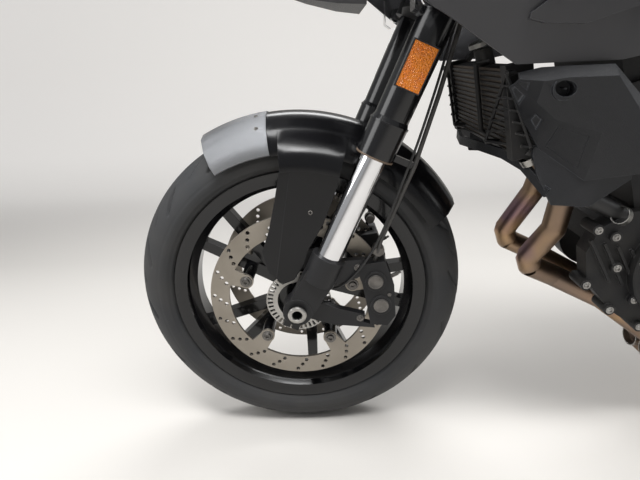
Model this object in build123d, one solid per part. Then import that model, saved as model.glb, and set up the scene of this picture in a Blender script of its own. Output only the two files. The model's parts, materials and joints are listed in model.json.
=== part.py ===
from build123d import *
from math import acos, atan2, cos, degrees, hypot, radians, sin, sqrt, tan
import os

# Sport touring motorcycle, parked on its side stand. Millimetres and degrees.
# The machine is drawn upright: x forward from the front axle, y to the rider's left, z up from the road.
# At the end it is leaned over to its left about the tyres' contact line and its origin is moved to its middle.

# Stance
LEAN = 9.5
WHEELBASE = 1520.0
RAKE = 24.0
TRAIL = 100.0

# Rims of 17 inches: the flange, the bead seat below it and the drop centre below that
RIM_FLANGE_R, FLANGE_H, WELL_DEPTH = 230.0, 14.0, 14.0
BEAD_SEAT_R = RIM_FLANGE_R - FLANGE_H
RIM_WELL_R = BEAD_SEAT_R - WELL_DEPTH
RIM_FLANGE_T, RIM_WALL = 5.5, 6.0
FRONT_RIM_W, REAR_RIM_W = 89.0, 140.0

# Tyres 120/70-17 and 180/55-17: height over the rim's flange, width and crown radius
FRONT_TYRE_H, FRONT_TYRE_W, FRONT_CROWN_R = 70.0, 120.0, 62.0
REAR_TYRE_H, REAR_TYRE_W, REAR_CROWN_R = 85.0, 180.0, 98.0
FRONT_TYRE_R, REAR_TYRE_R = RIM_FLANGE_R + FRONT_TYRE_H, RIM_FLANGE_R + REAR_TYRE_H
TYRE_WALL = 9.0

# Wheels
SPOKE_PAIRS = 5
SPOKE_START = 21.0
FRONT_HUB_R, FRONT_HUB_HALF = 48.0, 61.2
REAR_HUB_R, REAR_HUB_HALF = 62.0, 84.0
AXLE_R, AXLE_BORE_R = 12.5, 8.5
RUNNING = 0.05
GAP = 5.0

# Brake discs
DISC_T = 5.0
FRONT_DISC_R, FRONT_DISC_BAND, FRONT_DISC_Y = 160.0, 34.0, 63.7
DISC_BOLT_R = 100.0
REAR_DISC_R, REAR_DISC_BAND, REAR_DISC_Y = 132.5, 34.0, 96.0
REAR_DISC_BOLT_R = 62.0

# Fork, in the fork's own axes: X ahead of the steering axis, Z up along it from the axle's level
LEG_Y = 100.0
LEG_AHEAD_OF_AXLE = -12.0
STANCHION_R = 21.5
CASTING_R, CASTING_TOP = 28.5, 112.0
CASTING_LOW, CASTING_SOCKET = 64.0, 24.0
TUBE_R, TUBE_BORE_R = 26.5, 22.0
SEAL_R, SEAL_LENGTH = 29.5, 52.0
TUBE_BOTTOM, TUBE_TOP = 293.0, 728.0
LOWER_CLAMP_Z, LOWER_CLAMP_H = 505.0, 34.0
UPPER_CLAMP_Z, UPPER_CLAMP_H = 694.0, 24.0
CLAMP_WALL = 9.0
STEM_R, HEAD_BORE_R, HEAD_TUBE_R = 16.0, 22.0, 33.0
BEARING_H = 14.0
COWL_STAY_X = 190.0
AXLE_END_Y = 124.0
HOSE_R = 3.5
CLIP_BEHIND_LEG, CLIP_Z = 60.7, 302.0
REFLECTOR_Z, REFLECTOR_STANDOFF = 428.0, 6.0

# Front mudguard
MUDGUARD_CLEAR, MUDGUARD_WALL = 20.0, 4.0

# Handlebar, in the fork's axes
BAR_R, BAR_CLAMP_R = 11.0, 14.3
BAR_Z, BAR_X = 772.0, 30.0
BAR_END_Y, BAR_END_X, BAR_END_Z = 405.0, -62.0, 872.0
GRIP_R, GRIP_LENGTH = 16.5, 120.0

# Chain drive
CHAIN_Y, CHAIN_W, CHAIN_H = 106.0, 15.0, 14.0
FRONT_SPROCKET_R, REAR_SPROCKET_R = 40.0, 107.0
SPROCKET_T = 7.0
CHAIN_CLEAR = 0.5
OUTPUT_X, OUTPUT_Z = -890.0, 425.0

# Swingarm
PIVOT_X, PIVOT_Z, PIVOT_R = -960.0, 415.0, 12.0
ARM_W, ARM_H = 30.0, 62.0
ARM_Y = 137.0

# Rear shock absorber, (x, z) of its upper and lower ends
SHOCK_TOP, SHOCK_FOOT = (-862.0, 636.0), (-1068.0, 444.0)

# Fuel cap and the tank's filler ring
CAP_X, CAP_Z, CAP_R, CAP_T, CAP_RING_R = -540.0, 1008.0, 36.0, 6.0, 54.0
CAP_BOLTS, CAP_BOLT_PCD, CAP_BOLT_R = 6, 92.0, 2.5

# Side stand
STAND_PIVOT = (-835.0, 128.0, 232.0)
STAND_FOOT = (-765.0, 292.0)
STAND_FOLDED = (-0.985, 0.08, 0.10)
STAND_R = 11.0

# Overall reach, for the place of the origin
NOSE_TO_AXLE = FRONT_TYRE_R
TAIL_END_X = -WHEELBASE - 330.0
ORIGIN_X = (NOSE_TO_AXLE + TAIL_END_X) / 2
ORIGIN_Y = 205.0

lean_cos, lean_sin, lean_tan = cos(radians(LEAN)), sin(radians(LEAN)), tan(radians(LEAN))
rake_cos, rake_sin = cos(radians(RAKE)), sin(radians(RAKE))


def axle_height(tyre_r, crown_r):
    """Height of an axle in the upright machine, so that its tyre just touches the road when leaned."""
    return tyre_r - crown_r + crown_r / lean_cos


FRONT_AXLE_Z = axle_height(FRONT_TYRE_R, FRONT_CROWN_R)
REAR_AXLE_Z = axle_height(REAR_TYRE_R, REAR_CROWN_R)
FRONT = Pos(0, 0, FRONT_AXLE_Z)
REAR = Pos(-WHEELBASE, 0, REAR_AXLE_Z)

# The fork's axes: the steering axis passes this far behind the axle
AXLE_X = FRONT_TYRE_R * rake_sin - TRAIL * rake_cos
LEG_X = AXLE_X + LEG_AHEAD_OF_AXLE
CLIP_X = LEG_X - CLIP_BEHIND_LEG
STEERING_FOOT = (-AXLE_X * rake_cos, 0, FRONT_AXLE_Z - AXLE_X * rake_sin)
FORK = Location(Plane(origin=STEERING_FOOT, x_dir=(rake_cos, 0, rake_sin), z_dir=(-rake_sin, 0, rake_cos)))

nodes = {}


def node(name, *solids):
    """Keep the solids of one named piece."""
    loose = []
    for item in solids:
        loose.extend(item.solids())
    nodes[name] = loose


def mirrored(shape):
    """The same piece on the machine's right side."""
    return mirror(shape, about=Plane.XZ)


def pair(shape):
    """A piece on the left side and its twin on the right."""
    return [shape, mirrored(shape)]


def side_plate(outline, y_low, y_high):
    """A plate whose outline of (x, z) points is seen from the side."""
    wire = Polyline([(x, y_low, z) for x, z in outline], close=True)
    return extrude(make_face(wire), amount=y_high - y_low, dir=(0, 1, 0))


def slanted_plate(outline, y_at, thickness):
    """A flat panel seen from the side, its outer face at y_at(x, z) and its wall inwards of it."""
    wire = Polyline([(x, y_at(x, z), z) for x, z in outline], close=True)
    return extrude(make_face(wire), amount=thickness, dir=(0, -1, 0))


def upright(radius, height):
    """A cylinder that stands on its own base."""
    return Cylinder(radius, height, align=(Align.CENTER, Align.CENTER, Align.MIN))


def rod(start, end, radius):
    """A round bar between two points."""
    start, end = Vector(*start), Vector(*end)
    plane = Plane(origin=start, z_dir=end - start)
    return Solid.make_cylinder(radius, (end - start).length, plane)


def cross_rod(x, z, y_low, y_high, radius):
    """A round bar across the machine."""
    return rod((x, y_low, z), (x, y_high, z), radius)


def bent_tube(points, radius, bend):
    """A round tube along straight runs and the bends between them."""
    path = FilletPolyline(*points, radius=bend)
    section = Plane(origin=path @ 0, z_dir=path % 0) * Circle(radius)
    return sweep(section, path=path)


def ring(profile, centre=FRONT):
    """A profile of (radius, y) points turned about a wheel's axle."""
    return centre * revolve(make_face(Polyline(profile, close=True)), Axis.Y)


def arc_ring(profile, start, end, centre=FRONT):
    """A profile of (radius, y) points swept about an axle, between two angles above the forward direction."""
    swept = revolve(make_face(Polyline(profile, close=True)), Axis((0, 0, 0), (0, -1, 0)), end - start)
    return centre * (Rot(0, -start, 0) * swept)


def polar(radius, angle):
    """The (x, z) point at an angle above the forward direction."""
    return radius * cos(radians(angle)), radius * sin(radians(angle))


def around(shape, count, centre=FRONT):
    """Copies of a piece evenly spaced about a wheel's axle at the origin, moved to the wheel."""
    return [centre * (Rot(0, 360 / count * turn, 0) * shape) for turn in range(count)]


def beam(points, widths, heights):
    """A box beam along a path: straight lengths between upright rectangles square to it."""
    sections = []
    path = [Vector(*point) for point in points]
    for index, point in enumerate(path):
        before, after = path[max(index - 1, 0)], path[min(index + 1, len(path) - 1)]
        forward = (after - before).normalized()
        across = Vector(0, 0, 1).cross(forward)
        plane = Plane(origin=point, x_dir=across, z_dir=forward)
        sections.append(plane * Rectangle(widths[index], heights[index]))
    return loft(sections, ruled=True)


def body_loft(stations):
    """A body across the machine's middle, from sections square to its length.

    Each station is x, then height and half width at the bottom, waist and shoulder, then the crown's height.
    The crown is an arc over the shoulders.
    """
    sections = []
    for x, z_low, w_low, z_waist, w_waist, z_high, w_high, z_top in stations:
        left = [(x, w_low, z_low), (x, w_waist, z_waist), (x, w_high, z_high)]
        right = [(x, -y, z) for x, y, z in reversed(left)]
        edges = Polyline(left).edges() + Polyline(right).edges()
        edges += [ThreePointArc(left[-1], (x, 0, z_top), right[0]), Line(right[-1], left[0])]
        sections.append(make_face(edges))
    return loft(sections, ruled=True)


def skin(stations, thickness):
    """A folded side panel: each station is x and its (y, z) points from the bottom edge to the top."""
    sections = []
    for x, outer in stations:
        inner = [(y - thickness, z) for y, z in reversed(outer)]
        sections.append(make_face(Polyline([(x, y, z) for y, z in outer + inner], close=True)))
    return loft(sections, ruled=True)


# Tyres
def tyre(tyre_r, tyre_w, crown_r, rim_w, centre):
    """A tyre with its bead on the rim's seat: a crown arc, round shoulders and an open inside."""
    half, bead = tyre_w / 2 - 2, rim_w / 2
    crown = tyre_r - crown_r
    edge = crown + sqrt(crown_r ** 2 - half ** 2)
    inner_r, inner_half = crown_r - TYRE_WALL, half - TYRE_WALL
    inner_edge = crown + sqrt(inner_r ** 2 - inner_half ** 2)
    flank = (RIM_FLANGE_R + 1, bead)
    bulge = ((edge + RIM_FLANGE_R) / 2 + 3, tyre_w / 2)
    lip = bead - 12
    edges = [ThreePointArc((edge, -half), (tyre_r, 0), (edge, half))]
    edges += [ThreePointArc((inner_edge, -inner_half), (crown + inner_r, 0), (inner_edge, inner_half))]
    for side in (1, -1):
        edges.append(ThreePointArc((edge, side * half), (bulge[0], side * bulge[1]), (flank[0], side * flank[1])))
        run = [flank, (BEAD_SEAT_R, bead), (BEAD_SEAT_R, lip), (inner_edge, inner_half)]
        edges += Polyline([(r, side * y) for r, y in run]).edges()
    return centre * revolve(make_face(edges), Axis.Y)


def rim_ring(rim_w, centre):
    """A rim's barrel: flanges, bead seats and a drop centre."""
    seat, flange, well = rim_w / 2, rim_w / 2 + RIM_FLANGE_T, rim_w / 2 - 26
    outer = [(RIM_FLANGE_R, flange), (RIM_FLANGE_R, seat), (BEAD_SEAT_R, seat), (BEAD_SEAT_R, seat - 14)]
    outer += [(RIM_WELL_R, well)]
    outer += [(r, -y) for r, y in reversed(outer)]
    inner_r = BEAD_SEAT_R - RIM_WALL - 2
    inner = [(RIM_FLANGE_R - RIM_WALL, flange), (inner_r, flange - 4), (inner_r, seat - 16), (RIM_WELL_R - RIM_WALL, well - 2)]
    inner += [(r, -y) for r, y in reversed(inner)]
    return ring(outer + inner[::-1], centre)


def spokes(root_r, half_t, centre):
    """Five pairs of swept spokes: one nearly radial, the other leaning back to the rim."""
    # columns: radius, angle past the pair's root, half width of the bar
    bars = [[(root_r, -2, 13), (RIM_WELL_R - 1, 5, 9)], [(root_r, 8, 13), (RIM_WELL_R - 1, 28, 9)]]
    made = []
    for (r_in, a_in, w_in), (r_out, a_out, w_out) in bars:
        outline = []
        for r, a, w in ((r_in, a_in, w_in), (r_out, a_out, w_out), (r_out, a_out, -w_out), (r_in, a_in, -w_in)):
            outline.append(polar(hypot(r, w) - 2, SPOKE_START + a + degrees(atan2(w, r))))
        made += around(side_plate(outline, -half_t, half_t), SPOKE_PAIRS, centre)
    return made


def front_wheel():
    node("front_tyre", tyre(FRONT_TYRE_R, FRONT_TYRE_W, FRONT_CROWN_R, FRONT_RIM_W, FRONT))
    hub = ring([(AXLE_R + RUNNING, -FRONT_HUB_HALF), (FRONT_HUB_R, -FRONT_HUB_HALF),
                (FRONT_HUB_R, FRONT_HUB_HALF), (AXLE_R + RUNNING, FRONT_HUB_HALF)])
    bolt_x, bolt_z = polar(DISC_BOLT_R, SPOKE_START)
    boss = cross_rod(bolt_x, bolt_z, -FRONT_HUB_HALF, FRONT_HUB_HALF, 12)
    wheel = rim_ring(FRONT_RIM_W, FRONT) + hub + spokes(FRONT_HUB_R - 6, 11, FRONT)
    node("front_rim", wheel + around(boss, SPOKE_PAIRS))
    node("front_discs", *pair(disc(FRONT_DISC_R, FRONT_DISC_BAND, FRONT_DISC_Y, DISC_BOLT_R, FRONT)))
    node("wheel_sensor_ring", ring([(38, FRONT_HUB_HALF), (45, FRONT_HUB_HALF), (45, FRONT_HUB_HALF + 12),
                                    (58, FRONT_HUB_HALF + 12), (58, FRONT_HUB_HALF + 15), (38, FRONT_HUB_HALF + 15)]))


def disc(outer_r, band, y, bolt_r, centre):
    """A brake disc: the braking band and five lugs that reach in to their bolts."""
    inner_r = outer_r - band
    made = ring([(inner_r, y - DISC_T / 2), (outer_r, y - DISC_T / 2), (outer_r, y + DISC_T / 2),
                 (inner_r, y + DISC_T / 2)], centre)
    lug = [(bolt_r - 6, -11), (inner_r + 4, -17), (inner_r + 4, 17), (bolt_r - 6, 11)]
    outline = [polar(hypot(r, w), SPOKE_START + degrees(atan2(w, r))) for r, w in lug]
    plate = side_plate(outline, y - DISC_T / 2, y + DISC_T / 2)
    eye = cross_rod(*polar(bolt_r, SPOKE_START), y - DISC_T / 2, y + DISC_T / 2, 13)
    return made + around(plate + eye, SPOKE_PAIRS, centre)


def rear_wheel():
    node("rear_tyre", tyre(REAR_TYRE_R, REAR_TYRE_W, REAR_CROWN_R, REAR_RIM_W, REAR))
    bore, wide = AXLE_R + RUNNING, REAR_HUB_R
    hub = ring([(bore, -REAR_HUB_HALF), (wide + 12, -REAR_HUB_HALF), (wide, -REAR_HUB_HALF + 30),
                (wide, REAR_HUB_HALF - 30), (wide + 20, REAR_HUB_HALF), (bore, REAR_HUB_HALF)], REAR)
    node("rear_rim", rim_ring(REAR_RIM_W, REAR) + hub + spokes(REAR_HUB_R - 6, 14, REAR))
    disc_in = REAR_DISC_Y - DISC_T / 2
    carrier = ring([(40, -REAR_HUB_HALF), (40, -disc_in), (REAR_DISC_BOLT_R + 8, -disc_in),
                    (REAR_DISC_BOLT_R + 8, -REAR_HUB_HALF)], REAR)
    rotor = mirrored(disc(REAR_DISC_R, REAR_DISC_BAND, REAR_DISC_Y, REAR_DISC_BOLT_R, REAR))
    node("rear_disc", carrier + rotor)
    inner = CHAIN_Y - SPROCKET_T / 2
    plate = ring([(40, inner), (REAR_SPROCKET_R, inner), (REAR_SPROCKET_R, inner + SPROCKET_T),
                  (40, inner + SPROCKET_T)], REAR)
    carrier = ring([(bore, REAR_HUB_HALF), (70, REAR_HUB_HALF), (70, inner), (bore, inner)], REAR)
    node("rear_sprocket", plate + carrier)


def fork():
    leg = Pos(LEG_X, LEG_Y, 0)
    lower = leg * Pos(0, 0, CASTING_LOW) * upright(CASTING_R, CASTING_TOP - CASTING_LOW)
    eye = Pos(AXLE_X, LEG_Y, 0) * Rot(90, 0, 0) * Cylinder(25, 34)
    web = [(AXLE_X + 22, -10), (LEG_X + 26, 80), (LEG_X - 26, 80), (AXLE_X - 24, -8), (AXLE_X, -24)]
    lower = FORK * (lower + eye + side_plate(web, LEG_Y - 16, LEG_Y + 16))
    # arms to the caliper behind the leg and the tab for the mudguard ahead of it, from the axle
    arms = [[(-34, 66), (-64, 86), (-116, 88), (-122, 60), (-70, 44)],
            [(-16, 16), (-70, -4), (-126, -20), (-134, -44), (-60, -36), (-6, -18)],
            [(-30, 66), (8, 72), (24, 84), (18, 98), (-30, 104)]]
    for outline, low, high in zip(arms, (84, 84, 80), (98, 98, 86)):
        lower += FRONT * side_plate(outline, low, high)
    lower -= FORK * (leg * Pos(0, 0, CASTING_TOP - CASTING_SOCKET) * upright(STANCHION_R, CASTING_SOCKET))
    lower -= caliper_block()
    lower -= FRONT * cross_rod(0, 0, LEG_Y - 30, LEG_Y + 30, AXLE_R)
    node("fork_lowers", *pair(lower))
    slide = leg * Pos(0, 0, CASTING_TOP - CASTING_SOCKET) * upright(STANCHION_R, TUBE_TOP - CASTING_TOP)
    node("fork_stanchions", *pair(FORK * slide))
    profile = [(STANCHION_R, 0), (SEAL_R, 0), (SEAL_R, SEAL_LENGTH), (TUBE_R, SEAL_LENGTH + 8),
               (TUBE_R, TUBE_TOP - TUBE_BOTTOM), (TUBE_BORE_R, TUBE_TOP - TUBE_BOTTOM), (TUBE_BORE_R, 20),
               (STANCHION_R, 20)]
    tube = revolve(make_face(Polyline([(r, 0, z) for r, z in profile], close=True)), Axis.Z)
    tube += Pos(0, 0, TUBE_TOP - TUBE_BOTTOM) * upright(TUBE_R - 2, 9)
    tube += Pos(4, TUBE_R + REFLECTOR_STANDOFF / 2 - 1, REFLECTOR_Z - TUBE_BOTTOM) * Box(16, REFLECTOR_STANDOFF + 2, 34)
    clip_end, clip_root = CLIP_X + HOSE_R - LEG_X, 2 - SEAL_R
    tube += Pos((clip_end + clip_root) / 2, 9, CLIP_Z - TUBE_BOTTOM) * Box(clip_root - clip_end, 8, 10)
    node("fork_outer_tubes", *pair(FORK * (leg * Pos(0, 0, TUBE_BOTTOM) * tube)))


def clamp(bottom, height, tube_r):
    """A fork clamp: two eyes round the tubes, joined to the steering stem's boss."""
    lug_r = tube_r + CLAMP_WALL
    outline = [(LEG_X + lug_r * 0.7, LEG_Y + 8), (LEG_X + lug_r + 4, 0), (LEG_X + lug_r * 0.7, -LEG_Y - 8),
               (LEG_X - lug_r * 0.8, -LEG_Y - 8), (-34, -30), (-34, 30), (LEG_X - lug_r * 0.8, LEG_Y + 8)]
    made = extrude(make_face(Polyline([(x, y, bottom) for x, y in outline], close=True)), amount=height, dir=(0, 0, 1))
    for side in (1, -1):
        made += Pos(LEG_X, side * LEG_Y, bottom + height / 2) * Cylinder(lug_r, height)
    for side in (1, -1):
        made -= Pos(LEG_X, side * LEG_Y, bottom + height / 2) * Cylinder(tube_r, height)
    return made


def steering_head():
    lower = clamp(LOWER_CLAMP_Z, LOWER_CLAMP_H, TUBE_R)
    upper = clamp(UPPER_CLAMP_Z, UPPER_CLAMP_H, TUBE_R)
    stem_low = LOWER_CLAMP_Z + LOWER_CLAMP_H
    stem_h = UPPER_CLAMP_Z - stem_low
    stem = Pos(0, 0, stem_low + stem_h / 2) * Cylinder(STEM_R, stem_h)
    for z in (stem_low + GAP + BEARING_H / 2, UPPER_CLAMP_Z - GAP - BEARING_H / 2):
        stem += Pos(0, 0, z) * Cylinder(HEAD_BORE_R - RUNNING, BEARING_H)
    node("triple_clamps", FORK * (lower + upper + stem))


def head_tube():
    """The frame's tube round the steering stem."""
    low, high = LOWER_CLAMP_Z + LOWER_CLAMP_H + GAP, UPPER_CLAMP_Z - GAP
    middle = Pos(0, 0, (low + high) / 2)
    return middle * Cylinder(HEAD_TUBE_R, high - low), middle * Cylinder(HEAD_BORE_R, high - low)


def front_axle():
    pin = ring([(AXLE_BORE_R, -AXLE_END_Y), (AXLE_R, -AXLE_END_Y), (AXLE_R, AXLE_END_Y), (AXLE_BORE_R, AXLE_END_Y)])
    inner, outer = FRONT_HUB_HALF + 16, LEG_Y - 17
    for side in (1, -1):
        pin += ring([(AXLE_R, side * inner), (19, side * inner), (19, side * outer), (AXLE_R, side * outer)])
    node("front_axle", pin)


def mudguard():
    inner = FRONT_TYRE_R + MUDGUARD_CLEAR
    outer, drop = inner + MUDGUARD_WALL, inner - 58
    half = FRONT_TYRE_W / 2 + 12
    arch = [(outer, 0), (outer - 5, 28), (outer - 24, 56), (outer - 48, half), (drop, half), (drop, half - 4),
            (inner - 48, half - 4), (inner - 25, 53), (inner - 6, 26), (inner, 0)]
    full = arch + [(r, -y) for r, y in reversed(arch[1:-1])]
    seam, tip, tail = 82.5, 61.5, 150.0
    shell = arc_ring(full, seam, tail)
    nose = arc_ring([(r + 2 if i < 5 or i > 13 else r, y) for i, (r, y) in enumerate(full)], tip, seam)
    shoulder = [(inner - 18, 52), (inner - 36, 80), (drop, 98), (drop - 22, 98), (drop - 22, 86), (drop, half - 2)]
    arm = [(15, 257), (30, 188), (42, 141), (56, 103), (47, 64), (25, 44), (4, 52), (-14, 80), (-22, 106),
           (-48, 150), (-64, 190), (-76, 226), (-78, 236), (-30, 246)]
    for side in (1, -1):
        shell += arc_ring([(r, side * y) for r, y in shoulder], 86, 108)
        plate = FRONT * side_plate(arm, 86, 92)
        shell += plate if side == 1 else mirrored(plate)
    node("front_mudguard", shell)
    node("mudguard_tip", nose)


def caliper_block():
    """The outer form of the left front caliper, behind the leg and astride its disc."""
    y_in, y_out = 36, 98
    return arc_ring([(118, y_in), (174, y_in), (174, y_out), (118, y_out)], 152, 196)


def front_brakes():
    body, slot = caliper_block(), DISC_T / 2 + GAP
    groove = arc_ring([(100, FRONT_DISC_Y - slot), (FRONT_DISC_R + GAP, FRONT_DISC_Y - slot),
                       (FRONT_DISC_R + GAP, FRONT_DISC_Y + slot), (100, FRONT_DISC_Y + slot)], 140, 210)
    body -= groove
    node("front_calipers", *pair(body))
    # the hose's route in the fork's axes, from the caliper's end past the clip to the lower clamp
    route = [(LEG_X - 80.7, 84, 108), (LEG_X - 68.7, 96, 167), (CLIP_X, 110, CLIP_Z), (LEG_X - 48, 104, 408),
             (LEG_X - 34, 94, LOWER_CLAMP_Z)]
    hose = FORK * bent_tube(route, HOSE_R, 60) - body
    node("brake_hoses", *pair(hose - nodes_of("fork_outer_tubes") - nodes_of("triple_clamps")))


def reflectors():
    """Amber reflectors on the pads at the outer sides of the fork's tubes."""
    plate = Pos(LEG_X + 4, LEG_Y + TUBE_R + REFLECTOR_STANDOFF + 3.5, REFLECTOR_Z) * Box(36, 7, 62)
    node("reflectors", *pair(FORK * plate))


def handlebar():
    half = [(BAR_X, 0, BAR_Z), (BAR_X, 105, BAR_Z), (BAR_X - 10, 200, BAR_END_Z + 6), (BAR_END_X, BAR_END_Y, BAR_END_Z)]
    path = [(x, -y, z) for x, y, z in reversed(half)][:-1] + half[1:]
    bar = bent_tube(path, BAR_R, 45)
    for side in (1, -1):
        foot = UPPER_CLAMP_Z + UPPER_CLAMP_H
        riser = Pos(BAR_X, side * 48, (foot + BAR_Z) / 2) * Box(34, 26, BAR_Z - foot)
        bar += riser + Pos(BAR_X, side * 48, BAR_Z) * Rot(90, 0, 0) * Cylinder(BAR_CLAMP_R + 7, 26)
    end, start = Vector(*half[3]), Vector(*half[2])
    along = (end - start).normalized()
    bar = FORK * (bar + rod(end, end + along * 26, 15))
    node("handlebar", bar + mirrored(bar))

    def sleeve(low, high, radius):
        """A hollow sleeve round the bar, measured back from its end."""
        return rod(end - along * high, end - along * low, radius) - rod(end - along * high, end - along * low, BAR_R)

    node("grips", *pair(FORK * sleeve(0, GRIP_LENGTH, GRIP_R)))
    housing = sleeve(GRIP_LENGTH + 2, GRIP_LENGTH + 34, 24)
    spot = end - along * (GRIP_LENGTH + 18)
    housing += Pos(spot.X + 10, spot.Y, spot.Z + 2) * Rot(0, 0, 18) * Box(44, 30, 44)
    perch = end - along * (GRIP_LENGTH + 47)
    pivot = (perch.X + 50, perch.Y + 6, perch.Z)
    tip = (end.X + 66, end.Y - 14, end.Z - 2)
    housing += sleeve(GRIP_LENGTH + 32, GRIP_LENGTH + 58, 19)
    housing += Pos(perch.X + 34, perch.Y, perch.Z) * Box(44, 26, 22)
    housing -= rod(end - along * 200, end, BAR_R)
    lever = beam([pivot, ((pivot[0] + tip[0]) / 2 + 8, (pivot[1] + tip[1]) / 2, pivot[2]), tip], (16, 13, 9), (9, 9, 9))
    node("bar_controls", *pair(FORK * housing))
    node("levers", *pair(FORK * (lever - housing)))
    foot = (perch.X + 34, perch.Y, perch.Z + 11)
    head = (22.0, 415.0, 1052.0)
    stalk = bent_tube([foot, (perch.X + 12, perch.Y + 6, perch.Z + 60), (head[0] + 8, head[1] - 30, head[2] - 26)], 6, 30)
    outline = [(-78, -32), (-62, 34), (48, 46), (84, 18), (74, -30), (-20, -46)]
    plate = Plane(origin=head, x_dir=(0.18, 0.98, 0), z_dir=(-0.98, 0.18, 0.12)) * make_face(Polyline(outline, close=True))
    shell = extrude(plate, amount=24, both=True)
    shell -= extrude(Plane(origin=head, x_dir=(0.18, 0.98, 0), z_dir=(-0.98, 0.18, 0.12)).offset(24)
                     * scale(make_face(Polyline(outline, close=True)), 0.9), amount=-5)
    node("mirrors", *pair(FORK * (shell + stalk - housing)))
    glass = extrude(Plane(origin=head, x_dir=(0.18, 0.98, 0), z_dir=(-0.98, 0.18, 0.12)).offset(19.2)
                    * scale(make_face(Polyline(outline, close=True)), 0.89), amount=3)
    node("mirror_glasses", *pair(FORK * glass))


def spar(extra=0):
    """The left main spar, or the room that it needs."""
    # columns: x, y, z of the centre line, width, height
    stations = [(-262, 20, 850, 26, 92), (-332, 37, 838, 28, 86), (-430, 95, 811, 28, 76), (-560, 132, 770, 26, 62),
                (-800, 138, 660, 24, 58), (-930, 128, 520, 20, 60)]
    return beam([station[:3] for station in stations], [w + 2 * extra for *_, w, _ in stations],
                [h + 2 * extra for *_, h in stations])


def main_frame():
    outer, bore = head_tube()
    spars = spar()
    plate = side_plate([(-850, 600), (-975, 545), (-1010, 470), (-1004, 380), (-960, 330), (-900, 318), (-862, 322),
                        (-862, 362), (-880, 400), (-880, 446), (-850, 470)], 118, 134)
    half = spars + plate + side_plate([(-520, 765), (-610, 745), (-590, 655), (-548, 655)], 116, 124)
    for x, z in ((-866, 486), (-884, 338)):
        half += cross_rod(x, z, 92, 120, 8)
    cross = cross_rod(PIVOT_X, PIVOT_Z, -134, 134, PIVOT_R)
    made = (FORK * outer) + half + mirrored(half) + cross_rod(*SHOCK_TOP, -136, 136, 18)
    made -= FORK * bore
    for y in (-18, 18):
        made += FORK * rod((HEAD_TUBE_R - 8, y, 626), (COWL_STAY_X, y, 632), 8)
    node("main_frame", made - cross)


def engine():
    case = [(-474, 262), (-482, 392), (-520, 470), (-660, 515), (-850, 500), (-905, 470), (-912, 372), (-880, 260),
            (-820, 216), (-660, 194), (-560, 202)]
    crankcase = side_plate(case, -92, 92)
    crankcase -= cross_rod(PIVOT_X, PIVOT_Z, -134, 134, 40)
    node("engine_crankcase", crankcase)
    lean = 18
    top = Pos(-600, 0, 495) * Rot(0, lean, 0)
    # columns: bottom, height, half length, half width of each block up the cylinder's axis
    blocks = [(-40, 138, 70, 108), (98, 92, 78, 116), (190, 34, 62, 106)]
    cylinder = []
    for low, height, half_x, half_y in blocks:
        cylinder.append(top * Pos(0, 0, low + height / 2) * Box(2 * half_x, 2 * half_y, height))
    left = cross_rod(-600, 370, 92, 150, 98) + cross_rod(-600, 370, 150, 158, 74)
    right = cross_rod(-740, 350, -150, -92, 112) + cross_rod(-740, 350, -160, -150, 84)
    right += cross_rod(-600, 330, -140, -92, 74)
    node("engine_cylinders", cylinder[0] + cylinder[1] + cylinder[2] - crankcase - left - right)
    node("engine_covers", left, right)


def cooling():
    tilt = 11.0
    place = Pos(-322, 0, 628) * Rot(0, tilt, 0)
    core = place * Box(28, 276, 116)
    tanks = [place * Pos(0, side * 148, 0) * Box(36, 20, 128) for side in (1, -1)]
    stays = [rod((-322, side * 146, 684), (-412, side * 85, 808), 6) for side in (1, -1)]
    node("radiator", core + tanks + stays - nodes_of("main_frame"))


def exhaust():
    low, high = Vector(-1140, -196, 306), Vector(-1490, -212, 438)
    along = Plane(origin=low, x_dir=(0, 1, 0), z_dir=high - low)
    length = (high - low).length
    can = loft([along.offset(at) * Ellipse(w, h) for at, w, h in
                ((0, 30, 34), (60, 46, 62), (length - 60, 50, 66), (length, 40, 52))], ruled=True)
    node("silencer", can)
    made = []
    for y in (60, -50):
        route = [(-500, y, 599), (-440, y, 580), (-462, y, 468), (-383, y * 0.95, 350), (-450, y * 0.9, 225),
                 (-560, y * 0.8, 158), (-700, y * 0.7, 146)]
        made.append(bent_tube(route, 20, 26))
    collector = body_loft([(-690, 118, 40, 148, 66, 166, 50, 176), (-740, 112, 60, 146, 84, 168, 66, 182),
                           (-900, 118, 60, 150, 84, 172, 66, 186), (-950, 124, 30, 150, 50, 168, 40, 176)])
    route = [(-930, -30, 150), (-1000, -110, 190), (-1080, -182, 268), (-1150, -196, 310)]
    link = bent_tube(route, 24, 60)
    node("exhaust_pipes", made[0] + made[1] + collector + link - can - nodes_of("engine_cylinders"))


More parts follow.
